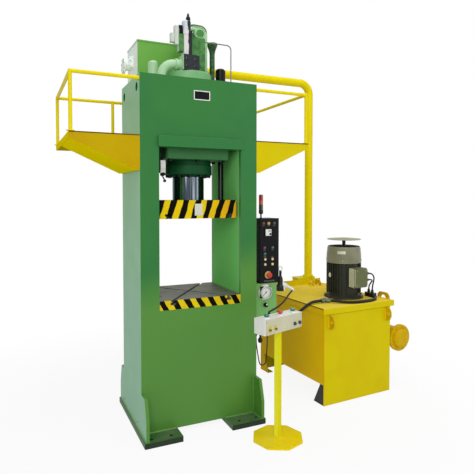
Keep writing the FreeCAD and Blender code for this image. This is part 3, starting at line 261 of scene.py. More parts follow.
class Graph:
    """Small helper round a material's node tree."""

    def __init__(self, name: str) -> None:
        """Starts a material with one shader.

        Args:
            name: the material's name.
        """
        self.material = bpy.data.materials.new(name)
        self.material.use_nodes = True
        self.tree = self.material.node_tree
        self.tree.nodes.clear()
        self.out = self.tree.nodes.new("ShaderNodeOutputMaterial")
        self.shader = self.tree.nodes.new("ShaderNodeBsdfPrincipled")
        self.link(self.shader.outputs[0], self.out.inputs[0])
        self.place = self.tree.nodes.new("ShaderNodeTexCoord").outputs["Object"]

    def link(self, a: Socket, b: Socket) -> None:
        """Joins an output to an input."""
        self.tree.links.new(a, b)

    def feed(self, socket: Socket, value: Value) -> None:
        """Sets an input.

        Args:
            socket: the input.
            value: a number, a colour or an output.
        """
        if isinstance(value, Socket):
            self.link(value, socket)
        elif isinstance(value, tuple) and len(value) == 3 and socket.type == "RGBA":
            socket.default_value = (*value, 1.0)
        else:
            socket.default_value = value

    def math(self, kind: str, a: Value, b: Value = 0.0, c: Value = 0.0) -> Socket:
        """Arithmetic on numbers.

        Args:
            kind: the Math node's operation.
            a, b, c: the numbers; an operation takes as many as it needs.
        Returns:
            The result.
        """
        node = self.tree.nodes.new("ShaderNodeMath")
        node.operation = kind
        for socket, value in zip(node.inputs, (a, b, c)):
            self.feed(socket, value)
        return node.outputs[0]

    def times(self, a: Value, b: Value) -> Socket:
        """Product of two numbers."""
        return self.math("MULTIPLY", a, b)

    def plus(self, a: Value, b: Value) -> Socket:
        """Sum of two numbers."""
        return self.math("ADD", a, b)

    def minus(self, a: Value, b: Value) -> Socket:
        """First number less the second."""
        return self.math("SUBTRACT", a, b)

    def noise(self, size: float, detail: float = 3.0, stretch: Point = (1, 1, 1),
              rough: float = 0.5) -> Socket:
        """Cloudy value over the surface.

        Args:
            size: how far across its features are, metres.
            detail: how many finer layers it has.
            stretch: scale along each axis.
            rough: weight of the finer layers.
        Returns:
            The value, 0 to 1.
        """
        moved = self.tree.nodes.new("ShaderNodeMapping")
        moved.inputs["Scale"].default_value = stretch
        self.link(self.place, moved.inputs["Vector"])
        node = self.tree.nodes.new("ShaderNodeTexNoise")
        node.inputs["Scale"].default_value = 1.0 / size
        node.inputs["Detail"].default_value = detail
        node.inputs["Roughness"].default_value = rough
        self.link(moved.outputs[0], node.inputs["Vector"])
        return node.outputs["Fac"]

    def ramp(self, value: Value, low: float, high: float) -> Socket:
        """Smooth step.

        Args:
            value: what it follows.
            low, high: where the result leaves 0 and reaches 1.
        Returns:
            The step, 0 to 1.
        """
        node = self.tree.nodes.new("ShaderNodeMapRange")
        node.interpolation_type = "SMOOTHSTEP"
        self.feed(node.inputs["Value"], value)
        node.inputs["From Min"].default_value = low
        node.inputs["From Max"].default_value = high
        return node.outputs[0]

    def mix(self, amount: Value, a: Value, b: Value) -> Socket:
        """Blends two colours.

        Args:
            amount: 0 for the first colour, 1 for the second.
            a, b: the colours.
        Returns:
            The blend.
        """
        node = self.tree.nodes.new("ShaderNodeMix")
        node.data_type = "RGBA"
        for slot, value in ((0, amount), (6, a), (7, b)):
            self.feed(node.inputs[slot], value)
        return node.outputs[2]

    def split_axes(self, source: Socket) -> tuple[Socket, Socket, Socket]:
        """Takes a vector apart.

        Args:
            source: the vector.
        Returns:
            Its three parts as separate values.
        """
        node = self.tree.nodes.new("ShaderNodeSeparateXYZ")
        self.link(source, node.inputs[0])
        return node.outputs[0], node.outputs[1], node.outputs[2]

    def axes(self) -> tuple[Socket, Socket, Socket]:
        """The three object coordinates as separate values."""
        return self.split_axes(self.place)

    def upward(self) -> Socket:
        """How far the surface looks up, -1 to 1."""
        spot = self.tree.nodes.new("ShaderNodeNewGeometry")
        return self.split_axes(spot.outputs["Normal"])[2]

    def radius(self, a: Value, b: Value) -> Socket:
        """Length of the vector with the parts a and b."""
        return self.math("SQRT", self.math("MULTIPLY_ADD", a, a, self.times(b, b)))

    def set(self, name: str, value: float | tuple) -> None:
        """Sets a number or a colour on the shader's own input."""
        self.shader.inputs[name].default_value = value

    def bump(self, height: Value, depth: float) -> None:
        """Fine relief on the shader.

        Args:
            height: the relief, 0 to 1.
            depth: its height, metres.
        """
        node = self.tree.nodes.new("ShaderNodeBump")
        node.inputs["Strength"].default_value = 1.0
        node.inputs["Distance"].default_value = depth
        self.feed(node.inputs["Height"], height)
        self.link(node.outputs[0], self.shader.inputs["Normal"])


class PaintShop:
    """Makes each finish's material once and hands it out again."""

    def __init__(self) -> None:
        """Starts with no material made."""
        self.made: dict[str, bpy.types.Material] = {}

    def material(self, finish: Finish) -> bpy.types.Material:
        """Material of a finish.

        Args:
            finish: the surface's numbers.
        Returns:
            The material, new or made before.
        """
        if finish.name not in self.made:
            graph = Graph(finish.name)
            makers = {Kind.PAINT: self.paint, Kind.MACHINED: self.machined, Kind.LENS: self.lens,
                      Kind.STRIPES: self.stripes, Kind.DIAL: self.dial, Kind.TREAD: self.tread,
                      Kind.SPLIT: self.split}
            makers[finish.kind](graph, finish)
            self.made[finish.name] = graph.material
        return self.made[finish.name]

    def dress(self, graph: Graph, finish: Finish, colour: Value, relief: Socket | None = None) -> None:
        """Adds patches, painted floor-bounce light near the floor, dust, chips, roughness change and relief
        over a base colour.

        Args:
            graph: the material's nodes.
            finish: the surface's numbers.
            colour: the base colour.
            relief: coarse relief under the fine texture, if any.
        """
        shader = graph.shader
        clouds = graph.noise(finish.patch, 4.0)
        patches = graph.times(graph.ramp(clouds, 0.40, 0.66), finish.patch_mix)
        colour = graph.mix(patches, colour, finish.shade)
        # Painted light: near the floor the paint leans to the low colour, which stands for light bounced up
        # from the floor.
        if finish.low is not None:
            x, _, z = graph.axes()
            height = graph.math("MULTIPLY_ADD", x, -0.25, graph.math("MULTIPLY_ADD", clouds, 0.3, z))
            low = graph.minus(1.0, graph.ramp(height, 1.27, 1.60))
            colour = graph.mix(low, colour, finish.low)
        if finish.dust:
            up = graph.ramp(graph.upward(), 0.5, 0.95)
            settled = graph.times(up, graph.ramp(graph.noise(0.12, 5.0), 0.25, 0.75))
            colour = graph.mix(graph.times(settled, finish.dust), colour, DUST)
        rough = graph.math("MULTIPLY_ADD", graph.noise(finish.patch * 0.4, 3.0), 0.16, finish.rough - 0.08)
        if finish.chips:
            specks = graph.ramp(graph.noise(0.014, 6.0, rough=0.65), 0.80 - finish.chips,
                                0.82 - finish.chips)
            chips = graph.times(specks, graph.ramp(graph.noise(0.16, 2.0), 0.52, 0.62))
            colour = graph.mix(chips, colour, finish.chip_colour)
            rough = graph.plus(rough, graph.times(chips, 0.25))
        graph.feed(shader.inputs["Base Color"], colour)
        graph.feed(shader.inputs["Roughness"], rough)
        graph.set("Metallic", finish.metal)
        graph.set("Specular IOR Level", finish.specular)
        graph.set("Coat Weight", finish.coat)
        graph.set("Coat Roughness", 0.12)
        grain = graph.noise(finish.grain, 2.0)
        if relief is not None:
            grain = graph.plus(graph.times(grain, 0.15), relief)
        graph.bump(grain, finish.bump)

    def paint(self, graph: Graph, finish: Finish) -> None:
        """One colour with its own patches, wear and relief."""
        self.dress(graph, finish, finish.base)

    def split(self, graph: Graph, finish: LitShadedFinish) -> None:
        """Painted highlight on the left part and painted shade on the right part, with a soft, uneven edge.

        Args:
            graph: the material's nodes.
            finish: the surface's numbers.
        """
        x = graph.axes()[0]
        wander = graph.math("MULTIPLY_ADD", graph.noise(0.05, 3.0), 0.03, graph.minus(x, 0.015))
        side = graph.ramp(wander, finish.edge - 0.004, finish.edge + 0.004)
        self.dress(graph, finish, graph.mix(side, finish.base, finish.right))

    def tread(self, graph: Graph, finish: Finish) -> None:
        """Tread plate: short bars, every second cell turned across, standing off the sheet.

        Args:
            graph: the material's nodes.
            finish: the surface's numbers.
        """
        x, y, _ = graph.axes()
        diagonal = 0.032 * 1.414
        u = graph.math("DIVIDE", graph.plus(x, y), diagonal)
        v = graph.math("DIVIDE", graph.minus(x, y), diagonal)
        cell = graph.plus(graph.math("FLOOR", u), graph.math("FLOOR", v))
        even = graph.math("FLOORED_MODULO", cell, 2.0)
        fu = graph.math("ABSOLUTE", graph.minus(graph.math("FRACT", u), 0.5))
        fv = graph.math("ABSOLUTE", graph.minus(graph.math("FRACT", v), 0.5))
        one = graph.plus(fu, graph.times(fv, 4.0))
        two = graph.plus(graph.times(fu, 4.0), fv)
        near = graph.plus(graph.times(one, even),
                          graph.times(two, graph.minus(1.0, even)))
        bar = graph.minus(1.0, graph.ramp(near, 0.30, 0.46))
        worn = graph.times(bar, graph.ramp(graph.noise(0.3, 4.0), 0.45, 0.6))
        self.dress(graph, finish, graph.mix(worn, finish.base, finish.chip_colour), bar)

    def stripes(self, graph: Graph, finish: StripeFinish) -> None:
        """Warning stripes: the distance along X, less the lean, cut into equal yellow and black.

        Args:
            graph: the material's nodes.
            finish: the surface's numbers.
        """
        x, _, z = graph.axes()
        start = finish.through[0] - finish.lean * finish.through[1] - 0.25 * finish.pitch
        along = graph.math("MULTIPLY_ADD", z, -finish.lean, graph.minus(x, start))
        hand = graph.times(graph.minus(graph.noise(0.09, 2.0), 0.5), 0.24)
        steps = graph.plus(graph.math("DIVIDE", along, finish.pitch), hand)
        wave = graph.math("FRACT", graph.plus(steps, 40.0))
        black = graph.times(graph.ramp(wave, 0.49, 0.51), graph.minus(1.0, graph.ramp(wave, 0.985, 1.0)))
        scuffed = graph.ramp(graph.noise(0.05, 6.0, rough=0.7), 0.60, 0.72)
        ink = graph.mix(graph.times(scuffed, 0.10), finish.ink, SCUFF)
        faded = graph.times(graph.ramp(graph.noise(0.07, 4.0), 0.42, 0.66), 0.4)
        yellow = graph.mix(graph.ramp(x, 0.02, 0.34), finish.base, finish.right)
        yellow = graph.mix(faded, yellow, finish.shade)
        self.dress(graph, finish, graph.mix(black, yellow, ink))

    def machined(self, graph: Graph, finish: Finish) -> None:
        """Cut metal with fine tool lines along one direction, oily patches and painted highlight streaks.

        Args:
            graph: the material's nodes.
            finish: the surface's numbers.
        """
        shader = graph.shader
        lines = graph.noise(0.004, 3.0, finish.lines)
        wide = graph.noise(finish.patch, 4.0)
        patches = graph.times(graph.ramp(wide, 0.35, 0.7), finish.patch_mix)
        colour = graph.mix(patches, finish.base, finish.shade)
        colour = graph.mix(graph.times(lines, 0.18), colour, OIL_FILM)
        # Painted highlight: bright streaks of the glint colour mixed into the base colour stand for
        # reflections.
        if finish.streaks:
            bright = graph.ramp(graph.noise(0.022, 2.0, finish.lines), 0.53, 0.62)
            colour = graph.mix(graph.times(bright, finish.streaks), colour, GLINT)
            graph.set("Specular Tint", GLINT_TINT)
        graph.feed(shader.inputs["Base Color"], colour)
        rough = graph.math("MULTIPLY_ADD", lines, 0.18, finish.rough - 0.09)
        graph.feed(shader.inputs["Roughness"], graph.math("MULTIPLY_ADD", wide, 0.1, rough))
        graph.set("Metallic", finish.metal)
        graph.set("Specular IOR Level", finish.specular)
        graph.bump(lines, finish.bump)

    def lens(self, graph: Graph, finish: Finish) -> None:
        """Lamp plastic with moulded rings, slightly lit from inside.

        Args:
            graph: the material's nodes.
            finish: the surface's numbers.
        """
        shader = graph.shader
        rings = graph.noise(0.003, 2.0)
        colour = graph.mix(graph.times(rings, 0.5), finish.base, finish.shade)
        graph.feed(shader.inputs["Base Color"], colour)
        graph.set("Roughness", 0.2)
        graph.set("Emission Color", (*finish.base, 1.0))
        graph.set("Emission Strength", finish.glow)
        graph.set("Coat Weight", 0.6)
        graph.bump(rings, 0.0001)

    def dial(self, graph: Graph, finish: Finish) -> None:
        """Gauge face with an arc of ticks, made from the angle round the dial's centre.

        Args:
            graph: the material's nodes.
            finish: the surface's numbers.
        """
        x, _, z = graph.axes()
        across = graph.minus(x, GAUGE[0])
        up = graph.minus(z, GAUGE[1])
        radius = graph.radius(across, up)
        angle = graph.math("ARCTAN2", across, up)
        ink = None
        for count, inner, width in ((10.0, 0.0335, 0.055), (50.0, 0.0395, 0.16)):
            turn = graph.times(graph.plus(angle, math.pi * 0.75), count / (math.pi * 1.5))
            fraction = graph.math("FRACT", graph.plus(turn, 0.5))
            near = graph.math("ABSOLUTE", graph.minus(fraction, 0.5))
            band = graph.times(graph.math("GREATER_THAN", radius, inner),
                               graph.math("LESS_THAN", radius, 0.0455))
            ticks = graph.times(graph.math("LESS_THAN", near, width), band)
            ink = ticks if ink is None else graph.math("MAXIMUM", ink, ticks)
        inside = graph.math("LESS_THAN", graph.math("ABSOLUTE", angle), math.pi * 0.76)
        colour = graph.mix(graph.times(ink, inside), finish.base, TICK_INK)
        self.dress(graph, finish, colour)


DUST = srgb(206, 200, 176)
SCUFF = srgb(92, 84, 46)
TICK_INK = srgb(24, 24, 24)
OIL_FILM = (0.02, 0.02, 0.02)
# Colour of the painted highlight streaks on machined metal.
GLINT = (0.50, 0.56, 0.62)
GLINT_TINT = (0.12, 0.16, 0.18, 1.0)

# The frame greens' low colour is painted light bounced up from the floor.
GREEN = Finish("frame_green", srgb(40, 116, 54), srgb(54, 126, 50), rough=0.36, patch=0.55, patch_mix=0.5,
               bump=0.00012, chips=0.03, chip_colour=srgb(60, 78, 52), dust=0.15, low=srgb(85, 141, 55))
# Paler copy of the frame green: painted highlight on the lit left flank and on the crown lip's right end.
HIGHLIGHT_GREEN = Finish("painted_highlight_green", srgb(118, 182, 130), srgb(124, 186, 136), patch=0.5, bump=0.00012,
                    chips=0.03, chip_colour=srgb(70, 96, 72), low=srgb(120, 182, 138))
# Lighter copy of the frame green without reflection: painted light on the jambs' inner walls.
LIT_JAMB_GREEN = Finish("painted_light_jamb_green", srgb(128, 214, 116), srgb(134, 218, 120), rough=0.5, patch=0.4,
                    specular=0.0)
FOOT_GREEN = Finish("foot_green", srgb(52, 98, 44), srgb(40, 80, 36), rough=0.5, patch=0.12, patch_mix=0.6,
                    chips=0.05, chip_colour=srgb(56, 60, 44), dust=0.15)
# Darker copy of the floor plates' green: painted shade on their front edges.
SHADED_FOOT_EDGE = replace(FOOT_GREEN, name="painted_shade_foot_edge", base=srgb(26, 48, 26), shade=srgb(16, 30, 18))
MOUNT_GREEN = Finish("mount_green", srgb(54, 110, 60), srgb(46, 98, 54), rough=0.45, patch=0.15,
                     specular=0.2)
DEEP_GREEN = Finish("deep_green", srgb(20, 74, 40), srgb(30, 88, 48), rough=0.45, patch=0.12, patch_mix=0.5,
                    specular=0.1)
PALE = Finish("pale_green", srgb(124, 184, 122), srgb(152, 202, 148), rough=0.42, patch=0.15, chips=0.03,
              dust=0.2)
PALER = Finish("paler_green", srgb(170, 214, 164), srgb(206, 230, 198), patch=0.12, dust=0.1)
# Near-white green: painted highlight on the header tank's lit left faces and far-left parts.
HIGHLIGHT_PALE_GREEN = Finish("painted_highlight_pale_green", srgb(248, 255, 250), srgb(240, 250, 244), rough=0.45, patch=0.3)
HEADER = Finish("header_green", srgb(112, 178, 72), srgb(134, 192, 96), rough=0.42, patch=0.3, chips=0.02,
                dust=0.1)
MID_GREEN = Finish("valve_green", srgb(80, 144, 70), srgb(44, 92, 46), rough=0.42, patch=0.05,
                   patch_mix=0.7)
VENT_GREEN = Finish("vent_green", srgb(50, 104, 50), srgb(14, 40, 22), patch=0.035, patch_mix=0.85)
CONDUIT = Finish("conduit_grey", srgb(128, 130, 116), srgb(92, 94, 84), metal=0.4, patch=0.05)
BROWN_GREEN = Finish("pipe_brown_green", srgb(66, 84, 50), srgb(48, 60, 36), rough=0.45, patch=0.08)
COLUMN_GREEN = Finish("column_green", srgb(120, 182, 104), srgb(132, 170, 84), rough=0.42, patch=0.2,
                      patch_mix=0.5, chips=0.03)
YELLOW = Finish("safety_yellow", srgb(222, 204, 2), srgb(214, 186, 2), patch_mix=0.4, bump=0.00012,
                chips=0.03, chip_colour=srgb(112, 84, 30), dust=0.05, specular=0.07)
# Oranger copy of the yellow: painted shade of the tank's left faces, also on the lid's left band and the
# tank's welds.
SHADE_SIDE_YELLOW = replace(YELLOW, name="painted_shade_side_yellow", base=srgb(255, 206, 2), shade=srgb(250, 194, 2))
# Lighter copy of the yellow: painted light on the lid's top, with settled dust.
LIT_TOP_YELLOW = replace(YELLOW, name="painted_light_top_yellow", base=srgb(253, 226, 58), shade=srgb(250, 208, 70),
                     patch=0.16, patch_mix=0.6, dust=0.15, specular=0.0)
LEFT_YELLOW = replace(YELLOW, name="gusset_yellow", base=srgb(200, 168, 2), shade=srgb(188, 148, 2))
# Brighter copy of the yellow without reflection: painted light on the decks' undersides and left ends.
LIT_UNDER_YELLOW = replace(YELLOW, name="painted_light_under_yellow", base=srgb(252, 226, 2), shade=srgb(248, 214, 2),
                       dust=0.0, specular=0.0)
POST_YELLOW = replace(YELLOW, name="post_yellow", base=srgb(234, 224, 10), shade=srgb(222, 208, 8),
                      patch=0.1)
# Paler copy of the post's yellow: painted highlight on its left faces.
LIT_POST_LEFT = replace(YELLOW, name="painted_highlight_post_left", base=srgb(255, 252, 60), shade=srgb(250, 244, 50), patch=0.1)
# Dark brown: painted shadow lines under the decks' edges, at the gussets' seams and under the lid's edge.
SHADOW_BROWN = Finish("painted_shadow_line", srgb(104, 78, 16), srgb(72, 52, 14), rough=0.6, patch=0.05, specular=0.05)
PLATE_YELLOW = replace(YELLOW, name="octagon_yellow", base=srgb(255, 228, 8), shade=srgb(252, 214, 8),
                       patch=0.1, rough=0.3, specular=0.15)
PIPE_YELLOW = replace(YELLOW, name="pipe_yellow", base=srgb(242, 222, 4), shade=srgb(234, 204, 4),
                      patch=0.2)
# Deeper yellow of the cooler, also given to the tank's ears as painted shade.
COOLER_YELLOW = replace(YELLOW, name="cooler_yellow", base=srgb(216, 178, 6), shade=srgb(198, 158, 8),
                        patch=0.08)
TREAD = replace(YELLOW, name="tread_yellow", kind=Kind.TREAD, bump=0.0016, chip_colour=srgb(120, 112, 92),
                dust=0.3)
PLATEN_STRIPES = StripeFinish("platen_stripes", srgb(238, 206, 14), srgb(214, 180, 20), kind=Kind.STRIPES,
                              rough=0.38, patch=0.08, patch_mix=0.0, pitch=0.1034, lean=0.31,
                              through=(-0.307, 1.7245), ink=srgb(4, 4, 4), right=srgb(226, 160, 16),
                              specular=0.06)
BOLSTER_STRIPES = replace(PLATEN_STRIPES, name="bolster_stripes", pitch=0.103, lean=-0.57,
                          through=(-0.285, 1.072), base=srgb(232, 206, 20), right=srgb(222, 190, 20),
                          ink=srgb(10, 8, 6))
# Chrome and guide rod steel get a very dark base as a painted dark reflection, and the chrome painted
# highlight streaks.
CHROME = Finish("chromed_steel", (0.055, 0.075, 0.095), (0.035, 0.05, 0.065), kind=Kind.MACHINED,
                rough=0.14, metal=1.0, patch=0.3, bump=0.00002, lines=(1, 1, 0.02), specular=0.5,
                streaks=0.7)
ROD = replace(CHROME, name="guide_rod_steel", base=(0.035, 0.04, 0.042), shade=(0.02, 0.022, 0.024),
              streaks=0.05)
STEEL = Finish("turned_steel", srgb(150, 150, 146), srgb(112, 110, 104), kind=Kind.MACHINED, rough=0.35,
               metal=0.9, patch=0.1, bump=0.00004, lines=(1, 1, 0.2), specular=0.5)
BRONZE = Finish("bush_bronze", srgb(150, 112, 58), srgb(120, 88, 44), kind=Kind.MACHINED, metal=0.9,
                patch=0.1, bump=0.00004, specular=0.5)
BOLSTER_TOP = Finish("machined_top", srgb(122, 120, 108), srgb(98, 95, 84), kind=Kind.MACHINED, rough=0.5,
                     metal=0.25, patch=0.22, patch_mix=0.6, bump=0.00005, lines=(0.03, 1, 1))
PLATEN_SIDE = Finish("platen_green", srgb(32, 66, 38), srgb(22, 48, 28), rough=0.45, patch=0.15)
# Black enamel, also given to the tank's front-left foot as painted shadow.
BLACK = Finish("black_enamel_and_painted_shadow", srgb(20, 21, 22), srgb(38, 38, 36), patch=0.09, dust=0.1)
BOLT_BLACK = Finish("black_bolts", srgb(22, 26, 24), srgb(40, 44, 40), rough=0.42, metal=0.4, patch=0.03)
PANEL_BLACK = Finish("panel_black", srgb(7, 9, 9), srgb(14, 16, 16), rough=0.34, patch=0.12, patch_mix=0.5,
                     specular=0.14)
JET = replace(PANEL_BLACK, name="jet_black", base=srgb(5, 5, 8), shade=srgb(12, 12, 14))
MANIFOLD = Finish("manifold_black", srgb(36, 40, 44), srgb(26, 28, 30), patch=0.05)
MOTOR = Finish("motor_green", srgb(50, 53, 40), srgb(26, 30, 22), rough=0.5, patch=0.05, bump=0.0004,
               grain=0.003)
COWL = Finish("cowl_olive", srgb(138, 137, 110), srgb(112, 114, 84), rough=0.36, patch=0.14, patch_mix=0.5)
CANOPY = Finish("canopy_olive", srgb(146, 145, 108), srgb(124, 124, 92), patch=0.12)
GRILLE = Finish("grille_dark", srgb(34, 36, 30), srgb(48, 50, 42), rough=0.6, patch=0.04)
BOX_OLIVE = Finish("terminal_olive", srgb(102, 108, 68), srgb(86, 92, 58), patch=0.08)
# Pale copy of the terminal box's olive: painted highlight on its lit left faces.
LIT_BOX_SIDE = Finish("painted_highlight_terminal_side", srgb(196, 198, 170), srgb(170, 172, 140), patch=0.05)
PALE_BOX = Finish("pale_box", srgb(206, 202, 172), srgb(216, 213, 188), rough=0.36, patch=0.12,
                  patch_mix=0.5)
ALLOY = Finish("cast_alloy", srgb(206, 206, 200), srgb(160, 160, 152), rough=0.42, metal=0.5, patch=0.03,
               bump=0.0003, grain=0.0015)
GREY = Finish("grey_coil", srgb(212, 220, 208), srgb(170, 186, 172), patch=0.04)
RUBBER = Finish("cable_black", srgb(13, 13, 14), srgb(28, 28, 28), rough=0.5, patch=0.05, grain=0.0012,
                bump=0.0003)
CREAM = Finish("cream_plastic", srgb(236, 220, 176), srgb(214, 196, 150), rough=0.3, patch=0.01, coat=0.3)
BEZEL = Finish("amber_bezel", srgb(150, 92, 30), srgb(110, 66, 22), rough=0.35, patch=0.01, metal=0.3)
COLLAR = Finish("stop_collar", srgb(216, 190, 112), srgb(196, 166, 84), rough=0.35, patch=0.01)
RED = Finish("red_plastic", srgb(206, 40, 26), srgb(176, 28, 20), rough=0.28, patch=0.015, coat=0.4)
PALM = Finish("palm_green", srgb(16, 128, 104), srgb(12, 104, 90), rough=0.3, patch=0.015, coat=0.4)
IRON = Finish("cast_iron", srgb(84, 84, 82), srgb(60, 60, 58), rough=0.6, metal=0.5, patch=0.04,
              bump=0.0005)
ZINC = Finish("zinc_bolt", srgb(176, 172, 156), srgb(120, 116, 100), rough=0.36, metal=0.85, patch=0.02)
WHITE = Finish("pale_face", srgb(240, 240, 234), srgb(224, 224, 214), rough=0.35, patch=0.03, patch_mix=0.2)
CASE = Finish("gauge_case", srgb(214, 216, 208), srgb(176, 178, 170), rough=0.3, metal=0.4, patch=0.02)
RIM_BLACK = Finish("gauge_rim", srgb(30, 31, 31), srgb(44, 44, 44), patch=0.02)
DIAL = replace(WHITE, name="gauge_dial", kind=Kind.DIAL)
LEGEND = Finish("blank_legend", srgb(74, 78, 78), srgb(58, 62, 62), rough=0.35, metal=0.3, patch=0.01)
TAG = Finish("blank_tag", srgb(214, 214, 196), srgb(190, 190, 172), rough=0.35, metal=0.3, patch=0.01)
SWITCH_YELLOW = Finish("switch_plate", srgb(226, 206, 60), srgb(204, 184, 48), patch=0.01)
DARK_LAMP = Finish("dark_lamp", srgb(14, 30, 26), srgb(10, 20, 18), rough=0.25, patch=0.01, coat=0.4)
# The solenoid valve's body and coil: painted highlight on the left, painted shade on the right.
BODY_LIT_SHADED = LitShadedFinish("valve_body_lit_shaded", srgb(226, 220, 220), srgb(200, 200, 198), kind=Kind.SPLIT,
                         patch_mix=0.0, edge=-0.048, right=srgb(14, 22, 20))
COIL_LIT_SHADED = LitShadedFinish("valve_coil_lit_shaded", srgb(206, 214, 222), srgb(180, 188, 196), kind=Kind.SPLIT,
                         rough=0.36, patch_mix=0.0, edge=-0.056, right=srgb(12, 14, 16))
FITTING = Finish("aged_fitting", srgb(128, 136, 120), srgb(60, 66, 58), metal=0.5, patch=0.015,
                 patch_mix=0.8)
KNOB_YELLOW = Finish("switch_knob", srgb(120, 114, 36), srgb(80, 76, 24), patch=0.01)
PLUG = Finish("pale_plug", srgb(222, 224, 150), srgb(206, 208, 130), patch=0.01)


def lens(name: str, r: int, g: int, b: int, glow: float = 0.25) -> Finish:
    """Finish of a lamp lens of a screen colour."""
    return Finish(name, srgb(r, g, b), srgb(r // 2, g // 2, b // 2), kind=Kind.LENS, glow=glow)


@dataclass(frozen=True)
class Zone:
    """Faces of a solid that get their own finish.

    Attributes:
        finish: what they get.
        x0, x1, y0, y1, z0, z1: box that a face's middle lies in, metres, in the axes of where.
        facing: direction that the faces look to, if that matters.
        where: the axes.
    """

    finish: Finish
    x0: float = -FAR
    x1: float = FAR
    y0: float = -FAR
    y1: float = FAR
    z0: float = -FAR
    z1: float = FAR
    facing: Point | None = None
    where: Place = WORLD

    @classmethod
    def about(cls, finish: Finish, x: float, z: float, wide: float, high: float = 0.0,
              **rest: float | Place) -> "Zone":
        """Zone round a spot of a front.

        Args:
            finish: what the faces get.
            x, z: the spot.
            wide, high: half its width and height, which are the same where the height isn't given.
            rest: other fields.
        Returns:
            The zone.
        """
        high = high or wide
        return cls(finish, x0=x - wide, x1=x + wide, z0=z - high, z1=z + high, **rest)

    def picks(self, middles: np.ndarray, normals: np.ndarray) -> np.ndarray:
        """Finds the faces that belong to the zone.

        Args:
            middles: middle of each face, metres.
            normals: direction of each face.
        Returns:
            One truth value for each face.
        """
        spots = self.where.local(middles)
        inside = (spots > (self.x0, self.y0, self.z0)) & (spots < (self.x1, self.y1, self.z1))
        mask = np.all(inside, axis=1)
        if self.facing is not None:
            mask &= self.where.local(normals, False) @ np.array(self.facing) > SAME_WAY
        return mask


# ---------------------------------------------------------------- mesh tools

# Distance below which points are one, angle from which an edge is sharp, and a weld bead's step between
# rows, pitch of its ripples, length of its tapered end, and least and greatest number of rows.
MERGE = 2e-6
SHARP = math.radians(38)
BEAD_STEP, BEAD_PITCH, BEAD_END = 0.0016, 0.0065, 0.006
BEAD_ROWS = (8, 420)


def unit(way: Point | np.ndarray) -> np.ndarray:
    """A direction of length one."""
    way = np.array(way, float)
    return way / np.linalg.norm(way)


def across(way: np.ndarray) -> tuple[np.ndarray, np.ndarray]:
    """Finds the plane square to a direction.

    Args:
        way: the direction, of length one.
    Returns:
        Two directions square to it and to each other.
    """
    helper = np.array(UP if abs(way[2]) < 0.9 else TO_RIGHT, float)
    first = unit(np.cross(helper, way))
    return first, np.cross(way, first)


@dataclass(frozen=True)
class Gland:
    """Cable gland: a hexagon nut and a sleeve round the cable's bore.

    Attributes:
        bore, nut, shoulder, sleeve: radii, from the cable outwards and back.
        start, flat, end: where the nut starts, where its flats end and where the sleeve ends.
    """

    bore: float
    nut: float
    shoulder: float
    sleeve: float
    start: float
    flat: float
    end: float

    def profile(self) -> Profile:
        """Works out the outline that is turned round the cable.

        Returns:
            A closed row of pairs of radius and distance along the cable.
        """
        return [(self.bore, self.start), (self.nut, self.start), (self.nut, self.flat),
                (self.shoulder, self.flat + 0.002), (self.sleeve, self.end - 0.001), (self.bore, self.end),
                (self.bore, self.start)]


HOSE_GLAND = Gland(0.0052, 0.011, 0.0095, 0.008, 0.0, 0.010, 0.021)
BOX_GLAND = Gland(0.0082, 0.0125, 0.011, 0.0095, -0.004, 0.008, 0.019)
LID_GLAND = Gland(0.0142, 0.0235, 0.0205, 0.0185, -0.002, 0.012, 0.023)
BLOCK_GLAND = replace(LID_GLAND, nut=0.02209, shoulder=0.01927)
LEAD_GLAND = Gland(0.0072, 0.0145, 0.012, 0.0105, 0.0, 0.009, 0.019)


def circle(count: int, start: float = 0.0) -> list[tuple[float, float]]:
    """Cosine and sine of evenly spaced turns, the first at start degrees."""
    turns = [math.radians(start + 360.0 * k / count) for k in range(count)]
    return [(math.cos(turn), math.sin(turn)) for turn in turns]


def grid_faces(rows: int, columns: int) -> np.ndarray:
    """Joins rows of vertices, closed along the columns.

    Args:
        rows: number of rows.
        columns: vertices in a row.
    Returns:
        Four vertex numbers for each face.
    """
    i, j = np.meshgrid(np.arange(rows - 1), np.arange(columns), indexing="ij")
    i, j = i.ravel() * columns, j.ravel()
    k = (j + 1) % columns
    return np.stack([i + j, i + k, i + columns + k, i + columns + j], axis=1)


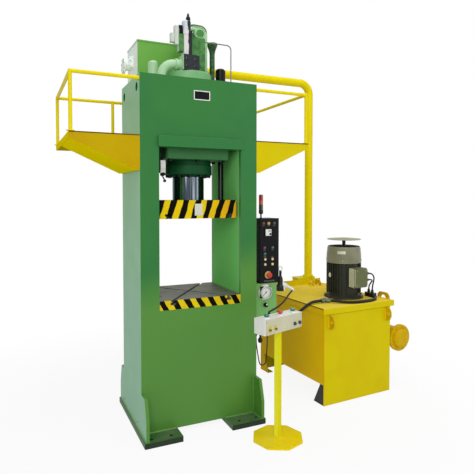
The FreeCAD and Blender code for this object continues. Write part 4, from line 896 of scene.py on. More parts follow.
@dataclass
class Stock:
    """Small parts gathered into one piece; each part is a closed grid of rings.

    Attributes:
        verts: vertex arrays so far.
        faces: face arrays so far.
        count: vertices so far.
    """

    verts: list = field(default_factory=list)
    faces: list = field(default_factory=list)
    count: int = 0

    def add(self, rings: np.ndarray) -> None:
        """Adds a part.

        Args:
            rings: array of rows, columns and three coordinates, metres.
        """
        rows, columns = rings.shape[:2]
        self.faces.append(grid_faces(rows, columns) + self.count)
        self.verts.append(rings.reshape(-1, 3))
        self.count += rows * columns

    def turned(self, at: Point, way: Point, profile: Profile, steps: int = 28, sides: int = 0) -> None:
        """Turned part; with sides, its outline is a polygon of that many sides instead of a circle.

        Args:
            at: point that the distances start from.
            way: direction of the axis.
            profile: pairs of radius and distance along the axis, metres.
            steps: divisions round the axis.
            sides: number of flats, or 0.
        """
        line = np.array(profile, float)
        turn = np.linspace(0, 2 * math.pi, steps, endpoint=False)
        shape = np.ones(steps)
        if sides:
            half = math.pi / sides
            shape = math.cos(half) / np.cos((turn + 1e-9) % (2 * half) - half)
        axis = unit(way)
        u, v = across(axis)
        ring = np.outer(np.cos(turn) * shape, u) + np.outer(np.sin(turn) * shape, v)
        self.add(np.array(at) + line[:, 0][:, None, None] * ring + line[:, 1][:, None, None] * axis)

    def gland(self, at: Point, way: Point, gland: Gland, sides: int = 6) -> None:
        """Gland on a cable.

        Args:
            at: point that its distances start from.
            way: direction of the cable.
            gland: its sizes.
            sides: number of the nut's flats, or 0.
        """
        self.turned(at, way, gland.profile(), 36, sides)

    def screw(self, at: Point, way: Point, r: float) -> None:
        """Domed screw head with a hexagon socket, whose radius follows the flats' angle.

        Args:
            at: middle of its seat.
            way: direction that it looks to.
            r: radius of the head.
        """
        steps = 24
        turn = np.linspace(0, 2 * math.pi, steps, endpoint=False)
        flats = math.cos(math.pi / 6) / np.cos(turn % (math.pi / 3) - math.pi / 6)
        full = np.ones(steps)
        # Reach, rise and outline of each row, in radii of the head.
        rows = [(0.0, 0.05, full), (1.0, 0.05, full), (1.0, 0.35, full), (0.9, 0.52, full),
                (0.7, 0.6, full), (0.5, 0.62, flats), (0.48, 0.30, flats), (0.0, 0.30, flats)]
        axis = unit(way)
        u, v = across(axis)
        ring = np.outer(np.cos(turn), u) + np.outer(np.sin(turn), v)
        rings = np.stack([ring * shape[:, None] * reach + axis * rise for reach, rise, shape in rows])
        self.add(np.array(at) + rings * r)

    def screw_ring(self, at: Point, way: Point, radius: float, count: int, start: float, r: float) -> None:
        """Screws on a circle.

        Args:
            at: middle of the circle.
            way: direction that the screws look to.
            radius: radius of the circle.
            count: number of screws.
            start: angle of the first, degrees.
            r: radius of a head.
        """
        u, v = across(unit(way))
        for c, s in circle(count, start):
            self.screw(np.array(at) + radius * (c * u + s * v), way, r)

    def plate(self, at: Point, right: Point, up: Point, half: tuple[float, float], thick: float,
              corner: float, fullby: float = 0.0) -> None:
        """Thin plate with rounded corners and a broken edge.

        Args:
            at: middle of its back.
            right, up: directions of its width and height.
            half: half its width and height, metres.
            thick: thickness.
            corner: corner radius.
            fullby: radius of the drum that it is bent round, or 0 where flat.
        """
        right, up = unit(right), unit(up)
        out = np.cross(right, up)
        quarter = np.linspace(0, math.pi / 2, 6)
        corners = []
        for k, (sx, sy) in enumerate(((1, 1), (-1, 1), (-1, -1), (1, -1))):
            angle = quarter + k * math.pi / 2
            corners.append(np.stack([sx * (half[0] - corner) + corner * np.cos(angle),
                                     sy * (half[1] - corner) + corner * np.sin(angle)], axis=1))
        outline = np.concatenate(corners)
        part = np.array([0.0, 1 / 3, 2 / 3])[None, :, None]
        dense = outline[:, None] + part * (np.roll(outline, -1, axis=0) - outline)[:, None]
        dense = dense.reshape(-1, 2)
        levels = [(0.0, 0.0), (1.0, 0.0), (1.0, 0.7), (1.0 - 0.3 * thick / min(half), 1.0)]
        levels += [(k, 1.0) for k in (0.75, 0.5, 0.25, 0.0)]
        flat = np.stack([np.insert(dense * k, 2, rise * thick, axis=1) for k, rise in levels])
        a, b, c = flat[..., 0:1], flat[..., 1:2], flat[..., 2:3]
        if fullby:
            reach = fullby + c
            a, c = reach * np.sin(a / fullby), reach * np.cos(a / fullby) - fullby
        self.add(np.array(at) + a * right + b * up + c * out)

    def weld(self, start: Point, end: Point, side_a: Point, side_b: Point, leg: float = 0.007) -> None:
        """Fillet weld between two faces: a quarter-round whose size ripples along its length.

        Args:
            start, end: the corner line that it fills.
            side_a, side_b: directions along the two faces, away from the corner.
            leg: size of the fillet, metres.
        """
        start, end = np.array(start, float), np.array(end, float)
        side_a, side_b = np.array(side_a, float), np.array(side_b, float)
        length = float(np.linalg.norm(end - start))
        fewest, most = BEAD_ROWS
        rows = max(fewest, min(most, int(length / BEAD_STEP)))
        t = np.linspace(0, 1, rows)
        scallop = 0.10 * np.abs(np.sin(np.pi * t * length / BEAD_PITCH))
        ripple = 1.0 + scallop + 0.05 * np.sin(t * length * 90.0)
        taper = np.minimum(1.0, np.minimum(t, 1 - t) * length / BEAD_END + 1e-4)
        size = leg * ripple * taper
        bend = np.linspace(0, math.pi / 2, 6)
        reach = 0.86 + 0.14 * np.abs(np.cos(2 * bend))
        along_a = np.outer(reach * np.cos(bend) ** 1.3, side_a)
        along_b = np.outer(reach * np.sin(bend) ** 1.3, side_b)
        section = np.concatenate([along_a + along_b, -0.12 * (side_a + side_b)[None, :]])
        middle = start + t[:, None] * (end - start)
        self.add(middle[:, None, :] + size[:, None, None] * section[None])

    def piece(self, name: str, material: bpy.types.Material, body: Body) -> None:
        """Closes the gathered parts, turns their faces outward and lets them ride on a body.

        Args:
            name: piece name.
            material: material of the piece.
            body: the body that carries it.
        """
        mesh = bpy.data.meshes.new(name)
        mesh.from_pydata(np.concatenate(self.verts).tolist(), [], np.concatenate(self.faces).tolist())
        work = bmesh.new()
        work.from_mesh(mesh)
        bmesh.ops.remove_doubles(work, verts=work.verts, dist=MERGE)
        bmesh.ops.dissolve_degenerate(work, edges=work.edges, dist=MERGE)
        bmesh.ops.recalc_face_normals(work, faces=work.faces)
        work.to_mesh(mesh)
        work.free()
        mesh.polygons.foreach_set("use_smooth", np.full(len(mesh.polygons), True))
        mesh.set_sharp_from_angle(angle=SHARP)
        mesh.materials.append(material)
        mesh.update()
        made = bpy.data.objects.new(name, mesh)
        bpy.context.scene.collection.objects.link(made)
        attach(made, body.value)
        LOG.info("piece %s: %d faces", name, len(mesh.polygons))


# ---------------------------------------------------------------- sub-assemblies


@dataclass
class Assembly:
    """A sub-assembly: paints its own solids, then adds its small parts.

    Attributes:
        shop: where the materials come from.
    """

    shop: PaintShop

    def build(self) -> None:
        """Paints and completes the sub-assembly."""
        self.paint()
        self.trim()
        LOG.info("%s done", type(self).__name__)

    def paint(self) -> None:
        """Gives the solids their finishes."""

    def trim(self) -> None:
        """Adds the small parts."""

    def keep(self, stock: Stock, name: str, finish: Finish, body: Body = Body.FRAME) -> None:
        """Makes gathered parts a piece.

        Args:
            stock: the parts.
            name: piece name.
            finish: what they get.
            body: the body that carries them.
        """
        stock.piece(name, self.shop.material(finish), body)

    def coat(self, names: str, finish: Finish, *zones: Zone) -> None:
        """Paints solids, face by face where zones ask for it; a later zone wins.

        Args:
            names: node names with spaces between.
            finish: what the faces outside every zone get.
            zones: faces with another finish.
        """
        for name in names.split():
            mesh = NODES[name].data
            mesh.materials.clear()
            finishes = [finish]
            for zone in zones:
                if zone.finish not in finishes:
                    finishes.append(zone.finish)
            for each in finishes:
                mesh.materials.append(self.shop.material(each))
            if zones:
                count = len(mesh.polygons)
                middles, normals = np.empty(count * 3), np.empty(count * 3)
                mesh.polygons.foreach_get("center", middles)
                mesh.polygons.foreach_get("normal", normals)
                middles, normals = middles.reshape(-1, 3), normals.reshape(-1, 3)
                index = np.zeros(count, int)
                for zone in zones:
                    index[zone.picks(middles, normals)] = finishes.index(zone.finish)
                mesh.polygons.foreach_set("material_index", index)
                mesh.update()
            LOG.info("painted %s", name)


@dataclass
class PressFrame(Assembly):
    """Side, face, crown and bed plates with their floor plates and bolster.

    Attributes:
        half_width: half the frame's width.
        plate: thickness of a side plate.
        foot_top: top of the floor plates.
        foot_end: front end of a side plate's foot.
        upright: lower and upper end of the seams between side and face plates.
        inner_end: inner end of a floor plate's seam.
        lip: left and right end of the crown's lip.
        lip_z: lower and upper end of the seam at its right end.
        rivets: X and Z of the name plate's rivets.
    """

    half_width: float = 0.5
    plate: float = 0.025
    foot_top: float = 0.042
    foot_end: float = 0.472
    upright: tuple[float, float] = (0.05, 0.354)
    inner_end: float = 0.212
    lip: tuple[float, float] = (-0.358, 0.354)
    lip_z: tuple[float, float] = (2.290, 2.367)
    rivets: tuple = ((-0.0595, 0.0725), (2.6725, 2.7415))

    def paint(self) -> None:
        """Green paint, painted light on the left flank and jambs, painted shade on foot edges, striped
        bolster edges.
        """
        self.coat("face_plates crown_box bed_box", GREEN)
        # The left flank's outer faces get the paler green as a painted highlight.
        self.coat("side_plates", GREEN, Zone(HIGHLIGHT_GREEN, x1=-0.4, facing=TO_LEFT))
        # The jambs' inner walls get the lighter green as painted light.
        self.coat("jamb_plates", LIT_JAMB_GREEN)
        # The floor plates' front faces get the darker green as painted shade.
        self.coat("foot_plates", FOOT_GREEN, Zone(SHADED_FOOT_EDGE, facing=TO_FRONT))
        self.coat("bolster", BOLSTER_TOP, Zone(BOLSTER_STRIPES, facing=TO_FRONT, y1=-0.324),
                  Zone(BOLSTER_STRIPES, facing=TO_BACK, y0=0.324))
        self.coat("name_plate", WHITE,
                  Zone(PANEL_BLACK, x0=-0.057, x1=0.070, y0=-0.3275, y1=-0.3265, z0=2.675, z1=2.739))

    def trim(self) -> None:
        """Welds of the feet, floor plates and crown lip, one in painted highlight green, and the name plate's
        rivets.
        """
        welds = Stock()
        foot, end = self.foot_top, self.foot_end
        low, top = self.upright
        for side in (-1, 1):
            x = side * self.half_width
            inner = side * (self.half_width - self.plate)
            welds.weld((x, -end, foot), (x, end, foot), (side, 0, 0), UP)
            for front in (-1, 1):
                face = front * abs(FRONT)
                out = (0, front, 0)
                welds.weld((inner, face, foot), (inner, front * end, foot), (-side, 0, 0), UP)
                welds.weld((inner, face, low), (inner, face, top), (-side, 0, 0), out, 0.006)
                welds.weld((side * self.inner_end, face, foot), (inner, face, foot), out, UP)
        left, right = self.lip
        low, top = self.lip_z
        welds.weld((left, FRONT, top), (right, FRONT, top), TO_FRONT, UP, 0.006)
        self.keep(welds, "frame_welds", GREEN)
        # The weld at the lip's right end is painted in the paler green as a painted highlight on that edge.
        ends = Stock()
        ends.weld((right, FRONT, low), (right, FRONT, top), TO_RIGHT, TO_FRONT, 0.008)
        self.keep(ends, "lip_highlight_weld", HIGHLIGHT_GREEN)
        rivets = Stock()
        head = [(0.0, 0.0), (0.0022, 0.0), (0.0019, 0.0009), (0.001, 0.0014), (0.0, 0.0015)]
        for x, z in product(*self.rivets):
            rivets.turned((x, FRONT - 0.003, z), TO_FRONT, head, 16)
        self.keep(rivets, "plate_rivets", ZINC)


@dataclass
class PressSlide(Assembly):
    """Cylinder, ram, striped platen and guide rods.

    Attributes:
        ram: radius of the ram.
        gland_low: lowest face of the gland's nose.
        blank: middle and half size of the platen's blank plate.
    """

    ram: float = 0.135
    gland_low: float = 2.067
    blank: tuple = ((-0.006, -0.275, 1.789), (0.0335, 0.0485))

    def paint(self) -> None:
        """Chrome, dark gland and bolts, stripes on the platen."""
        self.coat("ram", CHROME)
        self.coat("guide_rods", ROD)
        self.coat("gland_flange cylinder_barrel", DEEP_GREEN)
        self.coat("cylinder_mount_plate", MOUNT_GREEN)
        self.coat("cylinder_bolts", BOLT_BLACK, Zone(PALE, z0=2.5))
        self.coat("platen", PLATEN_SIDE, Zone(PLATEN_STRIPES, facing=TO_FRONT, y1=-0.270),
                  Zone(PLATEN_STRIPES, facing=TO_BACK, y0=0.270),
                  Zone(BOLSTER_TOP, facing=DOWN, z1=1.76))
        self.coat("limit_switch", ALLOY, Zone(JET, z0=2.186), Zone(JET, x1=-0.3155),
                  Zone(JET, facing=TO_RIGHT), Zone(JET, z1=2.0849))
        self.coat("limit_switch_arm", BLACK)

    def trim(self) -> None:
        """Rubber wiper lip round the ram and the platen's blank plate."""
        lip = Stock()
        r, z = self.ram, self.gland_low
        lip.turned((0, 0, z), DOWN, [(r + 0.0003, 0.0), (r + 0.0003, 0.0035), (r + 0.003, 0.0045),
                                     (r + 0.010, 0.0025), (r + 0.012, 0.0), (r + 0.0003, 0.0)], 96)
        self.keep(lip, "ram_wiper", RUBBER)
        blank = Stock()
        blank.plate(self.blank[0], TO_RIGHT, UP, self.blank[1], 0.0008, 0.003)
        self.keep(blank, "platen_blank", TAG, Body.SLIDE)


@dataclass
class CrownHydraulics(Assembly):
    """Header tank, elbow, manifold, valves, vent and return bends on the crown.

    Attributes:
        elbow: X and Y of the elbow's foot.
        nozzle: face, Y and Z of the header tank's side nozzle.
        manifold: X and Y of the manifold's screws.
    """

    elbow: tuple[float, float] = (-0.268, -0.120)
    nozzle: Point = (-0.453, 0.500, 3.090)
    manifold: tuple = ((-0.092, 0.028), (-0.178, -0.062))

    def paint(self) -> None:
        """Greens from near white to black as the photograph has them."""
        self.coat("cylinder_top_cover", PALE)
        # The header tank's left faces and far-left parts get the near-white painted highlight.
        self.coat("prefill_tank", HEADER, Zone(HIGHLIGHT_PALE_GREEN, x1=-0.380, facing=TO_LEFT),
                  Zone(HIGHLIGHT_PALE_GREEN, x1=-0.3872))
        self.coat("elbow_pipe", PALER)
        # The manifold's left face gets the pale green as a painted highlight.
        self.coat("valve_block", MID_GREEN, Zone(MANIFOLD, x1=0.07, y1=-0.0495, z1=3.0655),
                  Zone(PALER, x1=0.07, y1=-0.0495, z1=3.0655, facing=TO_LEFT),
                  Zone(PALER, x0=0.04, x1=0.15, y0=-0.06, y1=-0.029, z0=3.25, z1=3.35),
                  Zone(MID_GREEN, x0=0.06, x1=0.132, y0=-0.06, y1=-0.0455, z0=3.26, z1=3.336))
        # The solenoid valve's body and coil carry a painted highlight on the left and painted shade on the
        # right.
        self.coat("solenoid_valve", COIL_LIT_SHADED, Zone(JET, x0=-0.07, z0=3.357),
                  Zone(MID_GREEN, x1=-0.0861, z1=3.2359),
                  Zone(BODY_LIT_SHADED, x0=-0.0862, x1=0, z0=3.0, z1=3.2679),
                  Zone(JET, x0=-0.127, x1=-0.0925, z0=3.2361, z1=3.31), Zone(GREY, x1=-0.1259))
        self.coat("crown_pipes", PALER, Zone(BROWN_GREEN, y0=0.085, z0=3.36, facing=(0, -0.71, 0.71)),
                  Zone(VENT_GREEN, x0=0.235, y0=0.09), Zone(JET, x0=0.235, y0=0.09, z0=3.2, facing=UP),
                  Zone(CONDUIT, x0=0.13, x1=0.41, y0=-0.04, y1=-0.01))
        self.coat("guide_bushes", PALER, Zone(JET, x0=0.0, z0=2.8), Zone(BRONZE, z1=2.5))

    def trim(self) -> None:
        """Flange screws of the elbow, of the nozzle and of the manifold."""
        screws = Stock()
        screws.screw_ring((*self.elbow, CROWN_TOP + 0.014), UP, 0.049, 6, 0.0, 0.0065)
        screws.screw_ring(self.nozzle, TO_LEFT, 0.058, 8, 22.5, 0.007)
        for x, y in product(*self.manifold):
            screws.screw((x, y, 3.065), UP, 0.0065)
        self.keep(screws, "crown_screws", PALE)


@dataclass
class Platform(Assembly):
    """Crown walkway with its rails, and the overflow line.

    Attributes:
        flank: X of the frame's flank.
        gusset: lower and upper end of a gusset's seam.
        edge: middle along X, half length and height of a deck's front edge.
    """

    flank: float = 0.5
    gusset: tuple[float, float] = (2.112, 2.355)
    edge: tuple[float, float, float] = (0.7575, 0.2570, 2.3655)

    def paint(self) -> None:
        """Yellow, tread plate on the walkway, painted light under the decks and on their left ends."""
        # The decks' undersides and left ends get the brighter yellow as painted light.
        self.coat("platform_decks", YELLOW, Zone(TREAD, z0=2.3695, facing=UP),
                  Zone(LEFT_YELLOW, x1=0, y1=-0.3, facing=TO_FRONT),
                  Zone(LIT_UNDER_YELLOW, z1=2.36, facing=DOWN),
                  Zone(LIT_UNDER_YELLOW, x1=-1.014, facing=TO_LEFT))
        self.coat("railing overflow_pipe", PIPE_YELLOW)

    def trim(self) -> None:
        """Welds where the gussets stand on the frame's flanks and strips on the decks' front edges, all
        painted shadow lines.
        """
        welds, edges = Stock(), Stock()
        low, top = self.gusset
        middle, half, z = self.edge
        for side in (-1, 1):
            x = side * self.flank
            for y, way in ((FRONT, 1), (abs(FRONT), -1)):
                seam = y + way * 0.008
                welds.weld((x, seam, low), (x, seam, top), (side, 0, 0), (0, way, 0), 0.005)
            edges.plate((side * middle, FRONT, z), TO_RIGHT, UP, (half, 0.0042), 0.0012, 0.001)
        # The gusset welds and the deck strips are dark brown as painted shadow lines.
        self.keep(welds, "platform_shadow_welds", SHADOW_BROWN)
        self.keep(edges, "deck_shadow_strips", SHADOW_BROWN)


@dataclass
class OperatorPanel(Assembly):
    """Column box, panel with its door, lamps, buttons, gauge, tower and junction.

    Attributes:
        column_face: front of the column box.
        lamps: X, Z, name and screen colour of each lamp.
        buttons: X and Z of the cream buttons.
        timer: X and Z of the timer's knob.
        tower: name, screen colour with glow, and lower end of each lamp of the signal tower.
    """

    column_face: float = -0.170
    lamps: tuple = ((0.646, 1.656, "red", (84, 14, 16)), (0.700, 1.656, "amber", (206, 156, 70)),
                    (0.755, 1.656, "blue", (10, 50, 52)), (0.657, 1.436, "magenta", (84, 16, 64)),
                    (0.740, 1.436, "teal", (12, 74, 72)), (0.661, 1.383, "sea", (12, 76, 70)))
    buttons: tuple = ((0.663, 1.334), (0.737, 1.334), (0.663, 1.288), (0.737, 1.288))
    timer: tuple[float, float] = (0.714, 1.560)
    tower: tuple = (("green", (8, 52, 32, 0.05), 1.7745), ("orange", (214, 78, 18, 0.15), 1.8265),
                    ("red", (158, 18, 12, 0.15), 1.8605))

    def paint(self) -> None:
        """Green column, black panel and the colours of its controls."""
        self.coat("panel_column", COLUMN_GREEN)
        self.coat("panel_box panel_door", PANEL_BLACK)
        zones = [Zone.about(lens("lamp_" + name, *colour), x, z, 0.016)
                 for x, z, name, colour in self.lamps]
        zones += [Zone.about(BEZEL, x, z, 0.016) for x, z in self.buttons]
        zones += [Zone.about(WHITE, 0.696, 1.575, 0.031, y0=-0.1795, y1=-0.1785),
                  Zone(COLLAR, x0=0.65, x1=0.74, z0=1.15, z1=1.23)]
        self.coat("panel_lamps", PANEL_BLACK, *zones)
        self.coat("panel_button_1 panel_button_2 panel_button_3 panel_button_4", CREAM)
        self.coat("panel_stop", RED)
        self.coat("pressure_gauge", CASE, Zone.about(RIM_BLACK, *GAUGE, 0.0545, y1=-0.1705),
                  Zone.about(DIAL, *GAUGE, 0.050, y0=-0.1885, y1=-0.1875))
        self.coat("gauge_pointer", BLACK)
        self.coat("gauge_knob", JET)
        self.coat("tower_light", BLACK, *[Zone(lens("tower_" + name, *colour), z0=low)
                                          for name, colour, low in self.tower])
        self.coat("junction_valve", BLACK, Zone(ALLOY, x0=0.8, z0=1.214),
                  Zone(WHITE, x0=0.853, x1=1.0, y0=-0.25, y1=-0.10, z0=0.98, z1=1.115))

    def trim(self) -> None:
        """Gauge rim and screws, then the small parts of the door and the column."""
        x, z = GAUGE
        rim = Stock()
        rim.turned((x, self.column_face - 0.029, z), TO_FRONT,
                   [(0.0495, 0.0), (0.0495, 0.001), (0.0515, 0.003), (0.055, 0.003), (0.0575, 0.0005),
                    (0.0575, -0.004), (0.0545, -0.0002), (0.0495, 0.0)], 72)
        self.keep(rim, "gauge_ring", CASE)
        screws = Stock()
        screws.screw_ring((x, self.column_face - 0.0045, z), TO_FRONT, 0.063, 3, 90.0, 0.0045)
        self.keep(screws, "gauge_screws", ZINC)
        self.door_parts()
        self.glands()

    def door_parts(self) -> None:
        """Timer knob, a white painted highlight spot on the gauge knob and blank legends."""
        x, z = self.timer
        knob = Stock()
        knob.turned((x, DOOR_FACE - 0.004, z), TO_FRONT, [(0.0, 0.0), (0.010, 0.0), (0.010, 0.002),
                                                          (0.006, 0.003), (0.0055, 0.006), (0.0, 0.0065)],
                    24)
        knob.plate((x - 0.006, DOOR_FACE - 0.0039, z + 0.028), TO_RIGHT, UP, (0.012, 0.004), 0.0004, 0.001)
        self.keep(knob, "timer_knob", PANEL_BLACK, Body.DOOR)
        # White spot on the gauge knob's face: a painted highlight.
        highlight_spot = Stock()
        highlight_spot.plate((0.671, -0.1989, 0.930), TO_RIGHT, UP, (0.0075, 0.0075), 0.0010, 0.007)
        self.keep(highlight_spot, "knob_highlight_spot", WHITE, Body.KNOB)
        legends = Stock()
        spots = [(x, z - 0.021) for x, z, *_ in self.lamps] + [(x, z + 0.021) for x, z in self.buttons[:2]]
        for x, z in spots:
            legends.plate((x, DOOR_FACE, z), TO_RIGHT, UP, (0.012, 0.0035), 0.0006, 0.001)
        legends.plate((0.708, DOOR_FACE, 1.137), TO_RIGHT, UP, (0.055, 0.007), 0.0006, 0.002)
        self.keep(legends, "panel_legends", LEGEND, Body.DOOR)

    def glands(self) -> None:
        """Gland nuts of the conduit and of the hanging hose."""
        nuts = Stock()
        nuts.turned(COLUMN_OUTLET, TO_RIGHT, [(0.0142, 0.0), (0.024, 0.0), (0.024, 0.010), (0.022, 0.012),
                                              (0.019, 0.012), (0.018, 0.026), (0.0142, 0.028),
                                              (0.0142, 0.0)], 36, 6)
        for x in HOSE_ENDS:
            nuts.gland((x, HOSE_Y, HOSE_Z), DOWN, HOSE_GLAND)
        self.keep(nuts, "column_glands", RUBBER)


@dataclass
class PedestalStation(Assembly):
    """Two-hand pedestal, in its own axes.

    Attributes:
        front: the box's front face.
        post: half the post's width.
        switches: where the switches with yellow plates stand along the front.
        pilots: where the dark ones stand.
        screws: where the cover's screws stand along the front, and their heights.
    """

    front: float = -0.066
    post: float = 0.020
    switches: tuple[float, float] = (-0.160, -0.097)
    pilots: tuple[float, float] = (0.121, 0.179)
    screws: tuple = ((-0.196, 0.196), (0.872, 0.963))

    def paint(self) -> None:
        """Yellow stand, pale box with coloured controls; painted highlights on the left faces of both."""
        here = {"where": PEDESTAL}
        # The stand's left faces get the paler yellow as a painted highlight.
        self.coat("pedestal_stand", POST_YELLOW, Zone(LIT_POST_LEFT, facing=TO_LEFT, **here),
                  Zone(PLATE_YELLOW, z1=0.0125))
        zones = []
        for a in self.switches:
            zones += [Zone.about(SWITCH_YELLOW, a, 0.902, 0.0135, 0.023, y0=-0.0685, y1=-0.0655, **here),
                      Zone.about(KNOB_YELLOW, a, 0.897, 0.0105, 0.013, y0=-0.095, y1=-0.0686, **here)]
        zones += [Zone.about(DARK_LAMP, a, 0.898, 0.0145, 0.015, y0=-0.085, y1=-0.0664, **here)
                  for a in self.pilots]
        # The box's left face is white as a painted highlight.
        self.coat("pedestal_box", PALE_BOX, *zones, Zone(WHITE, x1=-0.2, facing=TO_LEFT, **here),
                  Zone(WHITE, z0=0.97, facing=UP, **here),
                  Zone(WHITE, x0=-0.18, x1=0.18, y0=-0.05, y1=0.01, z0=0.9765, z1=0.99, **here))
        self.coat("palm_button_left palm_button_right", PALM)
        self.coat("pedestal_stop", RED)

    def trim(self) -> None:
        """Foot weld, cover screws, blank plug and the cable's gland nut."""
        welds, screws, plug, nut = Stock(), Stock(), Stock(), Stock()
        h, z = self.post, 0.012
        for a0, b0, a1, b1, way in ((-h, -h, h, -h, (0, -1)), (-h, h, h, h, (0, 1)), (-h, -h, -h, h, (-1, 0)),
                                    (h, -h, h, h, (1, 0))):
            welds.weld(PEDESTAL.point(a0, b0, z), PEDESTAL.point(a1, b1, z), PEDESTAL.way(*way), UP, 0.005)
        self.keep(welds, "post_welds", POST_YELLOW)
        for a, z in product(*self.screws):
            screws.screw(PEDESTAL.point(a, self.front, z), PEDESTAL.way(0, -1), 0.0042)
        self.keep(screws, "pedestal_screws", ZINC)
        plug.turned(PEDESTAL.point(0.004, self.front, 0.893), PEDESTAL.way(0, -1),
                    [(0.0, 0.0), (0.011, 0.0), (0.011, 0.0012), (0.0095, 0.002), (0.0, 0.0024)], 28)
        self.keep(plug, "pedestal_plug", PLUG)
        nut.gland(PEDESTAL.point(*BOX_OUTLET), PEDESTAL.way(0, 1), BOX_GLAND)
        self.keep(nut, "pedestal_gland", RUBBER)


@dataclass
class PowerPack(Assembly):
    """Oil tank with lid, cooler, motor, fan cowl, terminal box and fittings, in its own axes.

    Attributes:
        sheet: thickness of the ears and the lifting lugs.
        ears: left faces of the front plate's ears.
        ear_seam: lower and upper end of their seams.
        edge_seam: distance along the front, lower and upper end of the seams at the tank's left edges.
        lugs: left face, near end and far end of each lifting lug.
        cowl_r: radius of the cowl where its blank tag sits.
        wire: radius of the fan guard's wire.
        rings: radii of its rings.
        spoke: inner end and length of its spokes.
        guard_z: heights of its rings and spokes.
        box_screws: where the terminal box's screws stand from the motor's axis, and their heights.
        box_face: front of the terminal box.
        ear: reach and height of the cowl's ears.
    """

    sheet: float = 0.012
    ears: tuple[float, float] = (0.051, 0.745)
    ear_seam: tuple[float, float] = (0.704, 0.824)
    edge_seam: Point = (0.003, 0.195, 0.828)
    lugs: tuple = ((0.823, 0.030, 0.190), (0.697, 0.943, 1.056))
    cowl_r: float = 0.1695
    wire: float = 0.0022
    rings: tuple = (0.045, 0.072, 0.099, 0.126, 0.150)
    spoke: tuple[float, float] = (0.022, 0.131)
    guard_z: tuple[float, float] = (1.3915, 1.3945)
    box_screws: tuple = ((-0.058, 0.058), (1.034, 1.176))
    box_face: float = 0.112
    ear: tuple[float, float] = (0.1738, 1.262)

    def paint(self) -> None:
        """Yellow tank with painted shade and a painted-light lid top, olive motor and bright or black
        fittings.
        """
        here = {"where": PACK}
        # The tank's left faces get the oranger yellow as painted shade.
        self.coat("tank_body", YELLOW, Zone(SHADE_SIDE_YELLOW, facing=TO_LEFT, **here),
                  # The ears in front of the tank get the deeper yellow as painted shade.
                  Zone(COOLER_YELLOW, x0=-1, x1=2, y0=-0.08, y1=-0.0005, z0=0.69, z1=0.83, **here),
                  # The front-left foot is black as painted shadow under the front plate.
                  Zone(BLACK, x0=-0.05, x1=0.09, y0=0.0105, y1=0.155, z0=-1, z1=0.185, **here))
        # The lid's upward faces get the lighter painted-light yellow with dust, and its left band the
        # painted-shade yellow.
        self.coat("tank_lid", YELLOW, Zone(LIT_TOP_YELLOW, z0=LID_TOP - 0.001, facing=UP),
                  Zone(SHADE_SIDE_YELLOW, x1=0, z1=LID_TOP + 0.001, facing=TO_LEFT, **here),
                  Zone(COOLER_YELLOW, x0=0.6, x1=1, y0=-1, y1=2, z0=LID_TOP + 0.0005, z1=1, **here))
        self.coat("oil_cooler", COOLER_YELLOW)
        self.coat("motor_body", MOTOR)
        a, b = MOTOR_AB
        self.coat("fan_cowl", COWL, Zone(CANOPY, z0=1.4575),
                  Zone(GRILLE, a - 0.16, a + 0.16, b - 0.16, b + 0.16, 1.384, 1.3975, facing=UP, **here),
                  Zone(GRILLE, a - 0.018, a + 0.018, b - 0.018, b + 0.018, 1.386, 1.459, **here))
        # The terminal box's left faces get the pale copy as a painted highlight.
        self.coat("terminal_box", BOX_OLIVE, Zone(LIT_BOX_SIDE, x1=0.48, y1=0.2, facing=TO_LEFT, **here))
        self.coat("motor_rotor", STEEL)
        self.coat("pump", IRON)
        self.coat("lid_fittings", FITTING, Zone(BLACK, x0=0.6, **here))

    def trim(self) -> None:
        """Welds, gland nuts, screws, blank tags and the fan's guard."""
        self.welds()
        self.nuts()
        self.screws()
        self.tags()
        self.guard()

    def welds(self) -> None:
        """Seams of the ears, the lifting lugs, the lid and the front plate; the last two are painted shadow
        lines.
        """
        welds, seam = Stock(), Stock()
        low, top = self.ear_seam
        for a in self.ears:
            for edge, way in ((a, -1), (a + self.sheet, 1)):
                welds.weld(PACK.point(edge, 0, low), PACK.point(edge, 0, top), PACK.way(way, 0),
                           PACK.way(0, -1), 0.005)
        for a, b0, b1 in self.lugs:
            gap = 0.225 * (b1 - b0)
            middle = 0.5 * (b0 + b1)
            for edge, way in ((a, -1), (a + self.sheet, 1)):
                for c0, c1 in ((b0, middle - gap), (middle + gap, b1)):
                    welds.weld(PACK.point(edge, c0, LID_TOP), PACK.point(edge, c1, LID_TOP),
                               PACK.way(way, 0), UP, 0.005)
        edge, low, top = self.edge_seam
        for b, way in ((0.010, 1), (1.095, -1)):
            welds.weld(PACK.point(edge, b, low), PACK.point(edge, b, top), PACK.way(-1, 0),
                       PACK.way(0, way), 0.003)
        # These two seams under the lid's edge are dark brown as painted shadow lines.
        z = LID_TOP - 0.003
        seam.weld(PACK.point(-0.013, -0.010, z), PACK.point(-0.013, 1.090, z), PACK.way(-1, 0), UP, 0.006)
        seam.weld(PACK.point(0.003, 0, 0.832), PACK.point(0.805, 0, 0.832), PACK.way(0, -1), DOWN, 0.005)
        self.keep(seam, "lid_shadow_seam", SHADOW_BROWN)
        # The tank's welds get the oranger painted-shade yellow.
        self.keep(welds, "tank_welds", SHADE_SIDE_YELLOW)

